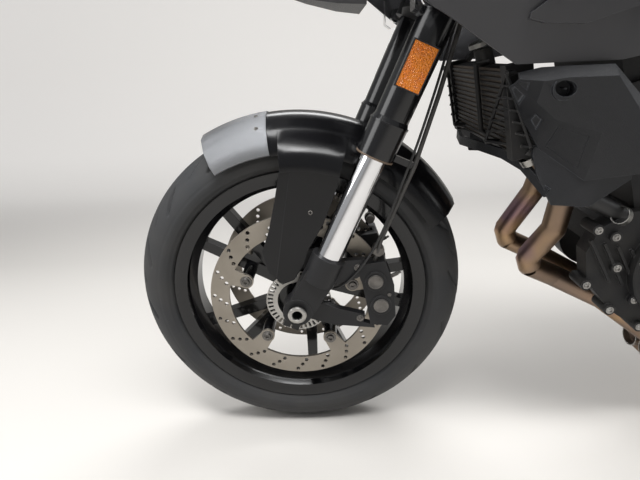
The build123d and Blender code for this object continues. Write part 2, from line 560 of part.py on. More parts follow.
def fairings():
    wall = 4
    upper = [(-108, [(126, 818), (141, 862), (134, 915), (106, 953)]),
             (-209, [(184, 747), (208, 805), (200, 890), (140, 985)]),
             (-289, [(204, 690), (236, 765), (226, 868), (156, 1000)]),
             (-400, [(228, 692), (250, 770), (238, 872), (168, 980)]),
             (-560, [(218, 722), (240, 790), (226, 866), (178, 945)]),
             (-742, [(168, 798), (184, 828), (182, 856), (160, 892)])]
    lower = slanted_plate([(-294, 672), (-384, 677), (-442, 575), (-378, 507), (-354, 576)],
                          lambda x, z: 238 - (x + 382) * 0.42 + (z - 676) * 0.10, 5)
    lower += cross_rod(-340, 640, 158, 213, 7)
    node("side_deflectors", *pair(lower))
    nose_stations = [(24, 802, 10, 816, 24, 828, 18, 836), (-30, 786, 38, 836, 74, 872, 58, 896),
                     (-78, 776, 66, 858, 122, 922, 92, 958), (-118, 772, 84, 868, 142, 946, 106, 992)]
    nose = body_loft(nose_stations)
    lens = [(16, 838), (74, 862), (128, 884), (120, 906), (60, 890), (24, 868)]
    prism = extrude(make_face(Polyline([(-64, y, z) for y, z in lens], close=True)), amount=120, dir=(1, 0, 0))
    lamps = [nose & prism, nose & mirrored(prism)]
    sheets = []
    # columns: z, x at the middle, half width, how far the sides sweep back
    for z, x, half, sweep_back in ((980, -100, 120, 48), (1120, -172, 134, 50), (1290, -290, 108, 48)):
        edges = [ThreePointArc((x - sweep_back, -half, z), (x, 0, z), (x - sweep_back, half, z)),
                 ThreePointArc((x - sweep_back - 4, -half, z), (x - 4, 0, z), (x - sweep_back - 4, half, z))]
        edges += [Line((x - sweep_back, y, z), (x - sweep_back - 4, y, z)) for y in (-half, half)]
        sheets.append(make_face(edges))
    bracket = Pos(-150, 0, 970) * Box(90, 120, 24)
    for side in (1, -1):
        bracket += rod((-170, side * 52, 975), (-142, side * 52, 1034), 7)
    bracket += rod((-184, 0, 975), (-209, 0, 1053), 10)
    display = Pos(-214, 0, 1058) * Rot(0, -65, 0) * Box(100, 160, 14)
    screen = loft(sheets, ruled=True)
    node("windscreen", screen)
    node("nose_cowl", nose - prism - mirrored(prism) + bracket - display - screen - nodes_of("main_frame"))
    node("instrument_display", display)
    node("headlamps", *lamps)
    node("side_fairings", *pair(skin(upper, wall) - nose))


def tank_and_seats():
    tank = body_loft([(-398, 800, 60, 850, 118, 930, 96, 958), (-460, 790, 96, 860, 158, 960, 118, 1004),
                      (-620, 780, 120, 850, 168, 950, 118, 1000), (-760, 765, 118, 820, 132, 890, 92, 930),
                      (-850, 760, 96, 790, 106, 835, 76, 858)])
    tank -= spar(3) + mirrored(spar(3)) + FORK * head_tube()[0]
    filler, lid = filler_ring()
    tank = tank - Pos(CAP_X, 0, CAP_Z - 60) * upright(CAP_RING_R, 80) + filler
    node("fuel_tank", tank)
    node("fuel_cap", lid)
    rider = body_loft([(-830, 770, 96, 800, 108, 818, 92, 832), (-930, 768, 128, 796, 150, 812, 136, 826),
                                  (-1060, 770, 140, 800, 168, 818, 148, 834), (-1140, 775, 128, 820, 152, 850, 128, 868)]) - tank
    pillion = body_loft([(-1142, 800, 110, 850, 134, 872, 116, 884), (-1300, 822, 112, 870, 132, 888, 112, 902),
                                    (-1480, 850, 84, 884, 96, 900, 78, 910)])
    rails = subframe()
    tail = body_loft([(-880, 700, 100, 745, 118, 762, 104, 768), (-1140, 715, 120, 760, 140, 772, 120, 774),
                                 (-1380, 760, 96, 800, 118, 822, 100, 824), (-1600, 812, 52, 840, 72, 862, 52, 872),
                                 (-1680, 830, 36, 846, 50, 862, 36, 868)])
    node("rider_seat", rider - rails)
    node("pillion_seat", pillion)
    node("tail_cowl", tail - rider - pillion - rails)
    node("rear_subframe", *rails.solids())
    rail = bent_tube([(-1200, 118, 836), (-1210, 152, 880), (-1480, 142, 906), (-1560, 60, 880), (-1560, 30, 862)], 9, 22)
    node("grab_rails", *pair(rail - tail - pillion))
    node("tail_lamp", body_loft([(-1680, 832, 32, 846, 44, 858, 32, 864), (-1700, 836, 26, 846, 36, 854, 26, 860)]))


def filler_ring():
    """The tank's filler: a flat ring with its bolt holes and hinge lugs, and the lid that lies in it."""
    hinge_x, hinge_z = CAP_X + CAP_R + 8, CAP_Z + 5
    ring_solid = Pos(CAP_X, 0, CAP_Z - 60) * upright(CAP_RING_R, 60)
    ring_solid -= Pos(CAP_X, 0, CAP_Z - CAP_T) * upright(CAP_R + 1, 60)
    ring_solid -= Pos(CAP_X, 0, CAP_Z - 40) * upright(24, 60)
    for index in range(CAP_BOLTS):
        x, y = polar(CAP_BOLT_PCD / 2, 360 / CAP_BOLTS * (index + 0.5))
        ring_solid -= Pos(CAP_X + x, y, CAP_Z - 12) * upright(CAP_BOLT_R, 20)
    lid = Pos(CAP_X, 0, CAP_Z - CAP_T) * upright(CAP_R, CAP_T + 3)
    pin = cross_rod(hinge_x, hinge_z, -14, 14, 2.5)
    for side in (1, -1):
        lug = Pos(hinge_x, side * 11.5, CAP_Z + 3) * Box(9, 5, 13)
        ring_solid += lug
    knuckle = cross_rod(hinge_x, hinge_z, -8, 8, 4.5) + Pos(CAP_X + CAP_R, 0, CAP_Z + 3.5) * Box(14, 16, 4)
    return ring_solid + pin, lid + knuckle - cross_rod(hinge_x, hinge_z, -20, 20, 2.5 + RUNNING)


def subframe():
    """The tubes that carry the seats, each side's two welded at the tail."""
    side = bent_tube([(-800, 122, 700), (-1130, 92, 752), (-1560, 40, 826)], 11, 80)
    side += bent_tube([(-948, 126, 548), (-1130, 106, 700), (-1290, 64, 780)], 11, 40)
    made = side + mirrored(side)
    made += cross_rod(-1130, 752, -92, 92, 9) + cross_rod(-1540, 822, -42, 42, 9)
    return made - nodes_of("main_frame")


def rear_end():
    arm = beam([(PIVOT_X + 26, 84, PIVOT_Z), (PIVOT_X - 70, 98, PIVOT_Z - 4), (PIVOT_X - 190, ARM_Y - 3, PIVOT_Z - 24),
                (-WHEELBASE + 120, ARM_Y, REAR_AXLE_Z + 22), (-WHEELBASE - 62, ARM_Y, REAR_AXLE_Z + 4)],
               (28, ARM_W, ARM_W, 26, 26), (58, ARM_H, ARM_H + 6, 54, 40))
    brace = side_plate([(PIVOT_X - 70, PIVOT_Z + 24), (PIVOT_X - 150, PIVOT_Z + 10), (PIVOT_X - 160, PIVOT_Z - 46),
                        (PIVOT_X - 80, PIVOT_Z - 36)], -100, 100)
    hub = cross_rod(PIVOT_X, PIVOT_Z, -115, 115, 27)
    made = arm + mirrored(arm) + brace + hub
    made -= cross_rod(PIVOT_X, PIVOT_Z, -134, 134, PIVOT_R)
    made -= REAR * cross_rod(0, 0, -170, 170, AXLE_R)
    node("swingarm", made)
    axle = REAR * cross_rod(0, 0, -170, 170, AXLE_R) - REAR * cross_rod(0, 0, -170, 170, AXLE_BORE_R)
    inner = CHAIN_Y - SPROCKET_T / 2
    spacer = ring([(AXLE_R, inner + 0.3), (20, inner + 0.3), (20, ARM_Y - 14), (AXLE_R, ARM_Y - 14)], REAR)
    spacer_right = ring([(AXLE_R, -REAR_HUB_HALF - 0.3), (20, -REAR_HUB_HALF - 0.3), (20, -ARM_Y + 14),
                         (AXLE_R, -ARM_Y + 14)], REAR)
    shaft = cross_rod(PIVOT_X, PIVOT_Z, -134, 134, PIVOT_R)
    node("rear_axle_and_pivot_shaft", axle + spacer + spacer_right, shaft)
    front = cross_rod(OUTPUT_X, OUTPUT_Z, CHAIN_Y - SPROCKET_T / 2, CHAIN_Y + SPROCKET_T / 2, FRONT_SPROCKET_R)
    front += cross_rod(OUTPUT_X, OUTPUT_Z, 92, CHAIN_Y + 10, 16)
    node("drive_chain", chain_loop(), front)
    top, foot = Vector(SHOCK_TOP[0], 0, SHOCK_TOP[1]), Vector(SHOCK_FOOT[0], 0, SHOCK_FOOT[1])
    along = (foot - top).normalized()
    shock = rod(top + along * 18, foot, 17) + rod(top + along * 18, top + along * 60, 26)
    shock += rod(foot - along * 46, foot - along * 34, 31)
    for turn in range(7):
        shock += rod(top + along * (66 + turn * 24), top + along * (78 + turn * 24), 31)
    node("rear_shock", shock - made)
    slot = DISC_T / 2 + GAP
    y = REAR_DISC_Y
    body = arc_ring([(96, -y - 24), (152, -y - 24), (152, -y + 24), (96, -y + 24)], 52, 88, REAR)
    body -= arc_ring([(60, -y - slot), (REAR_DISC_R + GAP, -y - slot), (REAR_DISC_R + GAP, -y + slot),
                      (60, -y + slot)], 40, 100, REAR)
    plate = REAR * side_plate([(20, -14), (26, 20), (60, 96), (40, 128), (10, 130), (-20, 20), (-20, -14)], -y - 24, -y - 16)
    body += plate
    node("rear_caliper", body - REAR * cross_rod(0, 0, -170, -90, 20.2) - made)
    half, wall = REAR_TYRE_W / 2 + 4, 4
    arch = [(336, 0), (330, 44), (308, 78), (290, half), (290, half - wall), (305, 72), (326, 40), (332, 0)]
    guard = arc_ring(arch + [(r, -y) for r, y in reversed(arch[1:-1])], 14, 96, REAR)
    for side in (1, -1):
        lug = [(298 - WHEELBASE, 422), (298 - WHEELBASE, 388), (PIVOT_X - 140, 372), (PIVOT_X - 140, 392)]
        guard += side_plate(lug, side * 62 - 3, side * 62 + 3)
    node("rear_hugger", guard - made)


def small_parts():
    """Footrests with their hangers, foot controls, plate carrier and indicators."""
    hanger = side_plate([(-890, 420), (-960, 396), (-930, 318), (-888, 306)], 134, 142)
    peg = rod((-906, 142, 322), (-906, 232, 330), 11)
    node("footrests", *pair(hanger + peg))
    arm = side_plate([(-1060, 676), (-1110, 690), (-1196, 500), (-1166, 486)], 112, 120)
    step = rod((-1180, 120, 498), (-1180, 205, 506), 10)
    node("pillion_footrests", *pair(arm + step - subframe()))
    pedal = bent_tube([(-900, 150, 352), (-850, 172, 332), (-752, 176, 330)], 6, 30)
    pedal += cross_rod(-900, 352, 142, 158, 10)
    toe = cross_rod(-752, 330, 170, 214, 8)
    node("foot_controls", pedal + toe, mirrored(pedal + toe))
    arm = side_plate([(-1545, 806), (-1640, 824), (-1802, 628), (-1812, 590), (-1776, 588)], -26, 26)
    board = Pos(-1822, 0, 548) * Rot(0, 22, 0) * Box(6, 190, 150)
    node("plate_carrier", arm + board - nodes_of("tail_cowl"))
    blinker = rod((-1770, 26, 650), (-1770, 100, 655), 6) + Pos(-1772, 118, 656) * Box(22, 42, 26)
    front = rod((-150, 160, 882), (-150, 190, 885), 6) + Pos(-148, 200, 886) * Box(22, 42, 26)
    node("indicators", *pair(blinker - arm), *pair(front - nodes_of("side_fairings")))


def nodes_of(name):
    """One named piece's solids, joined, to seat another against them."""
    return Part() + nodes[name]


def chain_loop():
    """The drive chain's closed run round both sprockets, a band as wide as its links."""
    dx, dz = -WHEELBASE - OUTPUT_X, REAR_AXLE_Z - OUTPUT_Z
    span = hypot(dx, dz)
    small, large = FRONT_SPROCKET_R + CHAIN_CLEAR, REAR_SPROCKET_R + CHAIN_CLEAR

    def band(extra, y_low, y_high):
        r1, r2 = small + extra, large + extra
        tilt = degrees(acos((r1 - r2) / span))
        base = degrees(atan2(dz, dx))
        ends = []
        for sign in (1, -1):
            turn = radians(base + sign * tilt)
            ends.append(((OUTPUT_X + r1 * cos(turn), OUTPUT_Z + r1 * sin(turn)),
                         (OUTPUT_X + dx + r2 * cos(turn), OUTPUT_Z + dz + r2 * sin(turn))))
        away = radians(base)
        near = (OUTPUT_X - r1 * cos(away), OUTPUT_Z - r1 * sin(away))
        far = (OUTPUT_X + dx + r2 * cos(away), OUTPUT_Z + dz + r2 * sin(away))
        at = [Vector(x, y_low, z) for x, z in (ends[0][0], near, ends[1][0], ends[0][1], far, ends[1][1])]
        edges = [ThreePointArc(at[0], at[1], at[2]), ThreePointArc(at[3], at[4], at[5]), Line(at[0], at[3]),
                 Line(at[2], at[5])]
        return extrude(make_face(edges), amount=y_high - y_low, dir=(0, 1, 0))

    return band(CHAIN_H, CHAIN_Y - CHAIN_W / 2, CHAIN_Y + CHAIN_W / 2) - band(0, CHAIN_Y - CHAIN_W, CHAIN_Y + CHAIN_W)


def side_stand():
    foot = Vector(STAND_FOOT[0], STAND_FOOT[1], STAND_FOOT[1] * lean_tan)
    pivot = Vector(*STAND_PIVOT)
    down = (foot - pivot).normalized()
    folded = Vector(*STAND_FOLDED).normalized()
    axis = down.cross(folded).normalized()
    sole_lift = 14 / lean_cos
    ankle = foot + Vector(0, 0, sole_lift)
    eye = rod(pivot - axis * 9, pivot + axis * 9, 19)
    leg = rod(pivot + down * 12, ankle, STAND_R)
    pad = Plane(origin=foot, x_dir=(1, 0, 0), z_dir=(0, -lean_sin, lean_cos))
    sole = extrude(pad * RectangleRounded(78, 42, 14), amount=9)
    tang = extrude(pad * RectangleRounded(40, 26, 8), amount=22)
    stand = eye + leg + tang + sole
    stand -= rod(pivot - axis * 30, pivot + axis * 30, 8 + RUNNING)
    node("side_stand", stand)
    bolt = rod(pivot - axis * 24, pivot + axis * 24, 8)
    cheeks = rod(pivot + axis * 12, pivot + axis * 20, 17) + rod(pivot - axis * 20, pivot - axis * 12, 17)
    arm = side_plate([(-800, 300), (-866, 300), (-872, 222), (-806, 222)], 92, 100)
    for side, height in ((-1, 44), (1, 52)):
        root = pivot + axis * (side * 16)
        arm += rod(root, Vector(root.X, 95, root.Z + height), 10)
    arm -= rod(pivot - axis * 12, pivot + axis * 12, 22) + nodes_of("engine_crankcase")
    node("side_stand_bracket", arm + cheeks + bolt)


front_wheel()
rear_wheel()
fork()
steering_head()
front_axle()
mudguard()
front_brakes()
reflectors()
handlebar()
main_frame()
engine()
cooling()
exhaust()
fairings()
tank_and_seats()
rear_end()
small_parts()
side_stand()

PARKED = Pos(-ORIGIN_X, -ORIGIN_Y, 0) * Rot(-LEAN, 0, 0)
os.makedirs("parts", exist_ok=True)
for name, solids in nodes.items():
    export_step(Compound([solid.moved(PARKED) for solid in solids]), f"parts/{name}.step")
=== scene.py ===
import json
import math

import bmesh
import bpy
import numpy as np
from mathutils import Matrix, Vector
from mathutils.bvhtree import BVHTree


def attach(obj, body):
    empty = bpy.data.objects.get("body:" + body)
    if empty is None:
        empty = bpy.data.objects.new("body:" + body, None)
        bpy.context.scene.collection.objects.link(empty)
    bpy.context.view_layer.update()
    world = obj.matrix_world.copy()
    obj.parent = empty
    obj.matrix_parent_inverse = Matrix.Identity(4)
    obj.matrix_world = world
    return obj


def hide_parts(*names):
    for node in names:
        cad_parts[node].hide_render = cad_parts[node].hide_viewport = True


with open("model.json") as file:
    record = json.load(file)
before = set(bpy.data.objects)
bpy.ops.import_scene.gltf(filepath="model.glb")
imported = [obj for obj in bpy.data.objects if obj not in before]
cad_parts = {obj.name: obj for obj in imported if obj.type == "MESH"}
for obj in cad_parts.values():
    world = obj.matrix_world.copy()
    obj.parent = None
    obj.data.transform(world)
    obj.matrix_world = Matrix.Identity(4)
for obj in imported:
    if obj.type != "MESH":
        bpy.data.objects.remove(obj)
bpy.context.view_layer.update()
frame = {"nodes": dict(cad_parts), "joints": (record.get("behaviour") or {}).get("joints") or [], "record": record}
nodes = frame["nodes"]
bodies = frame["record"]["behaviour"]["bodies"]
body_of = {node: body for body, members in bodies.items() for node in members}
joints = {joint["name"]: joint for joint in frame["joints"]}

# The showroom floor and its far wall, one pale sheet that curves up behind the machine.
# It isn't part of the machine, and its white comes from its own colour.
FLOOR_HALF = 7.0
WALL_AT = -5.5
WALL_HEIGHT = 5.0
WALL_CURVE = 1.6

FLOOR_COLOUR = (0.62, 0.60, 0.57)
WALL_GLOW = 0.42


def feed(tree, socket, value):
    """Put a plain value or another node's output into a socket."""
    if isinstance(value, bpy.types.NodeSocket):
        tree.links.new(value, socket)
    elif isinstance(value, tuple) and len(value) == 3:
        socket.default_value = (*value, 1)
    else:
        socket.default_value = value


def new_node(tree, kind, sockets=None, **settings):
    """A node added to a tree, with its settings and what goes into its sockets."""
    made = tree.nodes.new(kind)
    for label, setting in settings.items():
        setattr(made, label, setting)
    for socket, value in (sockets or {}).items():
        feed(tree, made.inputs[socket], value)
    return made


def in_scene(name, data):
    """A new object that holds the data, linked to the scene."""
    made = bpy.data.objects.new(name, data)
    bpy.context.scene.collection.objects.link(made)
    return made


def evaluated_mesh(holder):
    """The mesh that an object's modifiers make of it."""
    return bpy.data.meshes.new_from_object(holder.evaluated_get(bpy.context.evaluated_depsgraph_get()))


def looked_at(tree):
    """One for a ray from the camera, straight or through the screen, and nothing for any other."""
    ray = new_node(tree, "ShaderNodeLightPath").outputs
    return new_node(tree, "ShaderNodeMath", {0: ray["Is Camera Ray"], 1: ray["Is Transmission Ray"]},
                    operation="MAXIMUM").outputs[0]


floor_line = [(FLOOR_HALF, 0.0)]
for step in range(13):
    turn = math.radians(90 * step / 12)
    floor_line.append((WALL_AT + WALL_CURVE - WALL_CURVE * math.sin(turn),
                       WALL_CURVE - WALL_CURVE * math.cos(turn)))
floor_line.append((WALL_AT, WALL_HEIGHT))
floor_mesh = bpy.data.meshes.new("floor_sheet")
floor_mesh.from_pydata([(side * FLOOR_HALF, y, z) for y, z in floor_line for side in (-1, 1)], [],
                       [(2 * i, 2 * i + 1, 2 * i + 3, 2 * i + 2) for i in range(len(floor_line) - 1)])
floor_mesh.shade_smooth()
floor_paint = bpy.data.materials.new("pale_floor")
floor_paint.use_nodes = True
floor_tree = floor_paint.node_tree
# The far wall looks as pale as the floor to the camera, and lights nothing.
floor_place = new_node(floor_tree, "ShaderNodeTexCoord").outputs["Object"]
floor_parts = new_node(floor_tree, "ShaderNodeSeparateXYZ", {0: floor_place})
wall_glow = new_node(floor_tree, "ShaderNodeMapRange", {"From Min": -1.5, "From Max": -5.0,
                                                        "To Max": WALL_GLOW,
                                                        "Value": floor_parts.outputs["Y"]})
glow = new_node(floor_tree, "ShaderNodeMath", {0: wall_glow.outputs["Result"], 1: looked_at(floor_tree)},
                operation="MULTIPLY")
for label, value in (("Base Color", FLOOR_COLOUR), ("Roughness", 0.55), ("Emission Color", (1, 0.98, 0.96)),
                     ("Emission Strength", glow.outputs[0])):
    feed(floor_tree, floor_tree.nodes["Principled BSDF"].inputs[label], value)
floor_mesh.materials.append(floor_paint)
in_scene("floor_sheet", floor_mesh)

# The camera stands where the photograph was taken: beside the front wheel, a little above its axle.
# Its place and its three axes come from the round outlines of tyre, rim and disc.
CAMERA_AT = Vector((0.7129, 0.7035, 0.5643))
CAMERA_AXES = ((-0.99937, -0.02061, -0.02900), (-0.02400, -0.21144, 0.97710), (-0.02627, 0.97718, 0.21082))
CAMERA_LENS = 25.99

camera_data = bpy.data.cameras.new("camera")
camera_data.lens = CAMERA_LENS
camera_data.sensor_width = 36.0
camera_data.clip_start = 0.01
camera = in_scene("camera", camera_data)
camera.matrix_world = Matrix.Translation(CAMERA_AT) @ Matrix(CAMERA_AXES).transposed().to_4x4()
bpy.context.scene.camera = camera

# Lamps of a showroom: wide soft panels above, ahead and behind, which draw long streaks on the gloss parts.
# columns: name, place, target, width, depth, power
LAMPS = [
    ("lamp_over_front", (1.3, 0.9, 2.6), (0.6, 0.0, 0.3), 1.6, 0.5, 42),
    ("lamp_over_middle", (-0.2, 1.3, 2.8), (0.0, 0.0, 0.4), 2.4, 0.6, 60),
    ("lamp_over_right", (0.2, -1.9, 2.6), (0.1, 0.0, 0.4), 2.4, 0.8, 45),
    ("lamp_ahead", (3.0, 0.6, 1.6), (0.4, 0.0, 0.5), 1.4, 1.4, 26),
    ("lamp_behind", (-3.0, 0.3, 1.8), (-0.6, 0.0, 0.5), 1.4, 1.4, 26),
]
SKY_LIGHT = 0.42

for lamp_name, place, target, width, depth, power in LAMPS:
    lamp_data = bpy.data.lights.new(lamp_name, "AREA")
    lamp_data.shape = "RECTANGLE"
    lamp_data.size = width
    lamp_data.size_y = depth
    lamp_data.energy = power
    lamp = in_scene(lamp_name, lamp_data)
    lamp.location = place
    lamp.rotation_euler = (Vector(target) - Vector(place)).to_track_quat("-Z", "Y").to_euler()

world = bpy.data.worlds.new("showroom")
bpy.context.scene.world = world
world.use_nodes = True
world_tree = world.node_tree
strength = new_node(world_tree, "ShaderNodeMapRange", {"To Min": SKY_LIGHT, "To Max": 1.0,
                                                       "Value": looked_at(world_tree)})
feed(world_tree, world_tree.nodes["Background"].inputs["Color"], (0.93, 0.94, 0.96))
feed(world_tree, world_tree.nodes["Background"].inputs["Strength"], strength.outputs["Result"])
bpy.context.scene.view_settings.view_transform = "Standard"

# The tyres: radial road tyres moulded in one piece, their crown cut by slanted grooves and their sides by
# fine rings. The tread is dusty and greyer than the sides, whose rubber is darkened as painted shade. Each
# stands for its CAD node, on the same section.
FRONT_TYRE = {"radius": 300.0, "width": 120.0, "crown": 62.0, "rim": 89.0, "repeats": 16}
REAR_TYRE = {"radius": 315.0, "width": 180.0, "crown": 98.0, "rim": 140.0, "repeats": 18}
RIM_FLANGE_R = 230.0
BEAD_SEAT_R = 216.0
TYRE_WALL = 9.0
TYRE_TURNS = 600
CROWN_STEPS = 64
SIDE_STEPS = 16
# columns: distance along and across at the groove's start, the same at its end, half width, depth
GROOVES = [(0, 34, 50, 63, 5.2, 5.0), (28, 12, 92, 50, 2.2, 3.5), (62, 7, 114, 30, 4.4, 5.0)]
# columns: place down the tyre's side as a share of it, height of the moulded ring
SIDE_RINGS = [(0.10, -0.7), (0.55, 0.6), (0.80, 0.9), (0.90, -0.5)]

front_axle_at = Vector(joints["front_wheel_spin"]["pos_m"])
across = Vector(joints["front_wheel_spin"]["axis"]).normalized()
above = Vector((1, 0, 0)).cross(across)
lean_cos = above.z
MM = 0.001


def axle_height(tyre):
    """An axle's height in the upright machine, whose leaned tyre just touches the floor."""
    return tyre["radius"] - tyre["crown"] + tyre["crown"] / lean_cos


FRONT_Z = axle_height(FRONT_TYRE)
REAR_Z = axle_height(REAR_TYRE)
WHEELBASE = (front_axle_at - Vector(joints["rear_wheel_spin"]["pos_m"])).x / MM
PARKED = Matrix.Translation(front_axle_at - above * FRONT_Z * MM) @ Matrix(
    (Vector((1, 0, 0)), across, above)).transposed().to_4x4() @ Matrix.Scale(MM, 4)


def shader_group(name, inputs, outputs):
    """An empty group of shader nodes with named inputs and outputs, given as (name, type, value)."""
    group = bpy.data.node_groups.new(name, "ShaderNodeTree")
    for label, kind, value in inputs:
        socket = group.interface.new_socket(name=label, in_out="INPUT", socket_type=kind)
        if value is not None:
            socket.default_value = value
    for label, kind in outputs:
        group.interface.new_socket(name=label, in_out="OUTPUT", socket_type=kind)
    return group, group.nodes.new("NodeGroupInput"), group.nodes.new("NodeGroupOutput")


def noise(tree, vector, scale, detail):
    """A noise texture, its scale from a socket or a number."""
    return new_node(tree, "ShaderNodeTexNoise", {"Detail": detail, "Vector": vector,
                                                 "Scale": scale}).outputs["Fac"]


def blend_colours(tree, share, a, b):
    """A mix of two colours, each a socket or a value."""
    return new_node(tree, "ShaderNodeMix", {"Factor": share, "A": a, "B": b},
                    data_type="RGBA").outputs["Result"]


# Every real surface here has a fine grain that scatters its gloss, and patches that wear, dust or handling
# changed.
surface, surface_in, surface_out = shader_group(
    "grain_and_wear",
    [("Vector", "NodeSocketVector", None), ("Colour", "NodeSocketColor", (0.5, 0.5, 0.5, 1)),
     ("Worn Colour", "NodeSocketColor", (0.5, 0.5, 0.5, 1)), ("Patch Scale", "NodeSocketFloat", 9.0),
     ("Grain Scale", "NodeSocketFloat", 900.0), ("Smooth", "NodeSocketFloat", 0.3),
     ("Rough", "NodeSocketFloat", 0.5)],
    [("Colour", "NodeSocketColor"), ("Roughness", "NodeSocketFloat"), ("Height", "NodeSocketFloat")])
patches = noise(surface, surface_in.outputs["Vector"], surface_in.outputs["Patch Scale"], 4.0)
spread = new_node(surface, "ShaderNodeMapRange", {"From Min": 0.35, "From Max": 0.7, "Value": patches})
grain = noise(surface, surface_in.outputs["Vector"], surface_in.outputs["Grain Scale"], 2.0)
gloss = new_node(surface, "ShaderNodeMix", {"Factor": patches, "A": surface_in.outputs["Smooth"],
                                            "B": surface_in.outputs["Rough"]})
feed(surface, surface_out.inputs["Colour"], blend_colours(
    surface, spread.outputs["Result"], surface_in.outputs["Colour"], surface_in.outputs["Worn Colour"]))
feed(surface, surface_out.inputs["Roughness"], gloss.outputs["Result"])
feed(surface, surface_out.inputs["Height"], grain)

# Edges are rounded and painted a little brighter than the faces beside them: wear where hands, boots and
# stones reach, and a painted highlight along every edge.
edges, edges_in, edges_out = shader_group(
    "edges_worn_and_highlit", [("Radius", "NodeSocketFloat", 0.0008)],
    [("Worn And Highlit", "NodeSocketFloat"), ("Normal", "NodeSocketVector")])
rounding = new_node(edges, "ShaderNodeBevel", {"Radius": edges_in.outputs["Radius"]},
                    samples=4).outputs["Normal"]
flat = new_node(edges, "ShaderNodeNewGeometry").outputs["Normal"]
facing = new_node(edges, "ShaderNodeVectorMath", {0: rounding, 1: flat}, operation="DOT_PRODUCT")
# How strongly each edge is painted bright: wear, and a painted highlight.
worn_and_highlit_share = new_node(edges, "ShaderNodeMapRange", {"From Min": 0.97, "From Max": 0.86,
                                                "Value": facing.outputs["Value"]})
feed(edges, edges_out.inputs["Worn And Highlit"], worn_and_highlit_share.outputs["Result"])
feed(edges, edges_out.inputs["Normal"], rounding)


def finish(name, colour, worn, smooth, rough, grain_scale=900.0, bump=0.1, patch=9.0, depth=0.0006,
           edge=None, edge_radius=0.0008, **shader_values):
    """A material from the grain group, with edges painted in edge's colour as wear and painted highlight, and
    other sockets by name.
    """
    material = bpy.data.materials.new(name)
    material.use_nodes = True
    tree = material.node_tree
    place = new_node(tree, "ShaderNodeTexCoord").outputs["Object"]
    group = new_node(tree, "ShaderNodeGroup", node_tree=surface)
    for label, value in (("Vector", place), ("Colour", colour), ("Worn Colour", worn), ("Patch Scale", patch),
                         ("Grain Scale", grain_scale), ("Smooth", smooth), ("Rough", rough)):
        feed(tree, group.inputs[label], value)
    relief = new_node(tree, "ShaderNodeBump", {"Strength": bump, "Distance": depth,
                                               "Height": group.outputs["Height"]})
    shown = group.outputs["Colour"]
    if edge:
        worn_and_highlit_edges = new_node(tree, "ShaderNodeGroup", node_tree=edges)
        feed(tree, worn_and_highlit_edges.inputs["Radius"], edge_radius)
        feed(tree, relief.inputs["Normal"], worn_and_highlit_edges.outputs["Normal"])
        # Every edge is painted in edge's colour: wear, and a painted highlight.
        shown = blend_colours(tree, worn_and_highlit_edges.outputs["Worn And Highlit"], shown, edge)
    sockets = {"Base Color": shown, "Roughness": group.outputs["Roughness"],
               "Normal": relief.outputs["Normal"]}
    for label, value in shader_values.items():
        sockets[label.replace("_", " ").title().replace("Ior", "IOR")] = value
    for label, value in sockets.items():
        feed(tree, tree.nodes["Principled BSDF"].inputs[label], value)
    return material


def placed_by(material):
    """The material's nodes and the place on its object that they start from."""
    nodes_in = material.node_tree.nodes
    return material.node_tree, nodes_in, nodes_in["Texture Coordinate"].outputs["Object"]


def add_piece(name, form, materials, body="frame", sharp_angle=30, replaced=()):
    """Park, dress and put on a body a mesh, or several joined, given in the upright machine's millimetres."""
    mesh = merged(name, *form) if isinstance(form, list) else form
    mesh.transform(PARKED)
    mesh.materials.clear()
    for material in materials if isinstance(materials, list) else [materials]:
        mesh.materials.append(material)
    mesh.shade_smooth()
    mesh.set_sharp_from_angle(angle=math.radians(sharp_angle))
    piece = in_scene(name, mesh)
    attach(piece, body)
    if replaced:
        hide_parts(*replaced)
    return piece


def mesh_from(name, points, faces):
    """A mesh of plain points and faces."""
    mesh = bpy.data.meshes.new(name)
    mesh.from_pydata(np.asarray(points, float).reshape(-1, 3).tolist(), [], faces)
    return mesh


def turned_faces(turns, steps):
    """The faces of a closed section of so many steps that is turned about an axle."""
    ring = np.arange(turns * steps).reshape(turns, steps)
    after, up = np.roll(ring, -1, 0), np.roll(ring, -1, 1)
    return np.stack([ring, up, np.roll(after, -1, 1), after], -1).reshape(-1, 4).tolist()


def arc_through(a, b, c, steps):
    """Points on the arc from a over b to c, the last one left out."""
    (ax, ay), (bx, by), (cx, cy) = a, b, c
    d = 2 * (ax * (by - cy) + bx * (cy - ay) + cx * (ay - by))
    aa, bb, cc = ax ** 2 + ay ** 2, bx ** 2 + by ** 2, cx ** 2 + cy ** 2
    x = (aa * (by - cy) + bb * (cy - ay) + cc * (ay - by)) / d
    y = (aa * (cx - bx) + bb * (ax - cx) + cc * (bx - ax)) / d
    start, radius = math.atan2(ay - y, ax - x), math.hypot(ax - x, ay - y)
    sweep = (math.atan2(cy - y, cx - x) - start + math.pi) % (2 * math.pi) - math.pi
    turns = start + sweep * np.arange(steps) / steps
    return np.stack([x + radius * np.cos(turns), y + radius * np.sin(turns)], 1)


def groove_depth(along, across_crown, pitch):
    """How deep the tread is cut at each point, by how far round it is and how far from the crown's middle."""
    deepest = np.zeros_like(along)
    for side in (1, -1):
        here = (along + (0 if side > 0 else pitch / 2)) % pitch
        out = across_crown * side
        for start, near, end, far, half_w, cut in GROOVES:
            run = math.hypot(end - start, far - near)
            for shift in (-pitch, 0, pitch):
                share = ((here + shift - start) * (end - start) + (out - near) * (far - near)) / run ** 2
                off = np.abs((here + shift - start) * (far - near) - (out - near) * (end - start)) / run
                width = half_w * np.sqrt(np.clip(1 - (2 * share - 1) ** 2, 0, 1))
                deepest = np.maximum(deepest, cut * np.clip(1.6 * (width - off) / half_w, 0, 1))
    return deepest


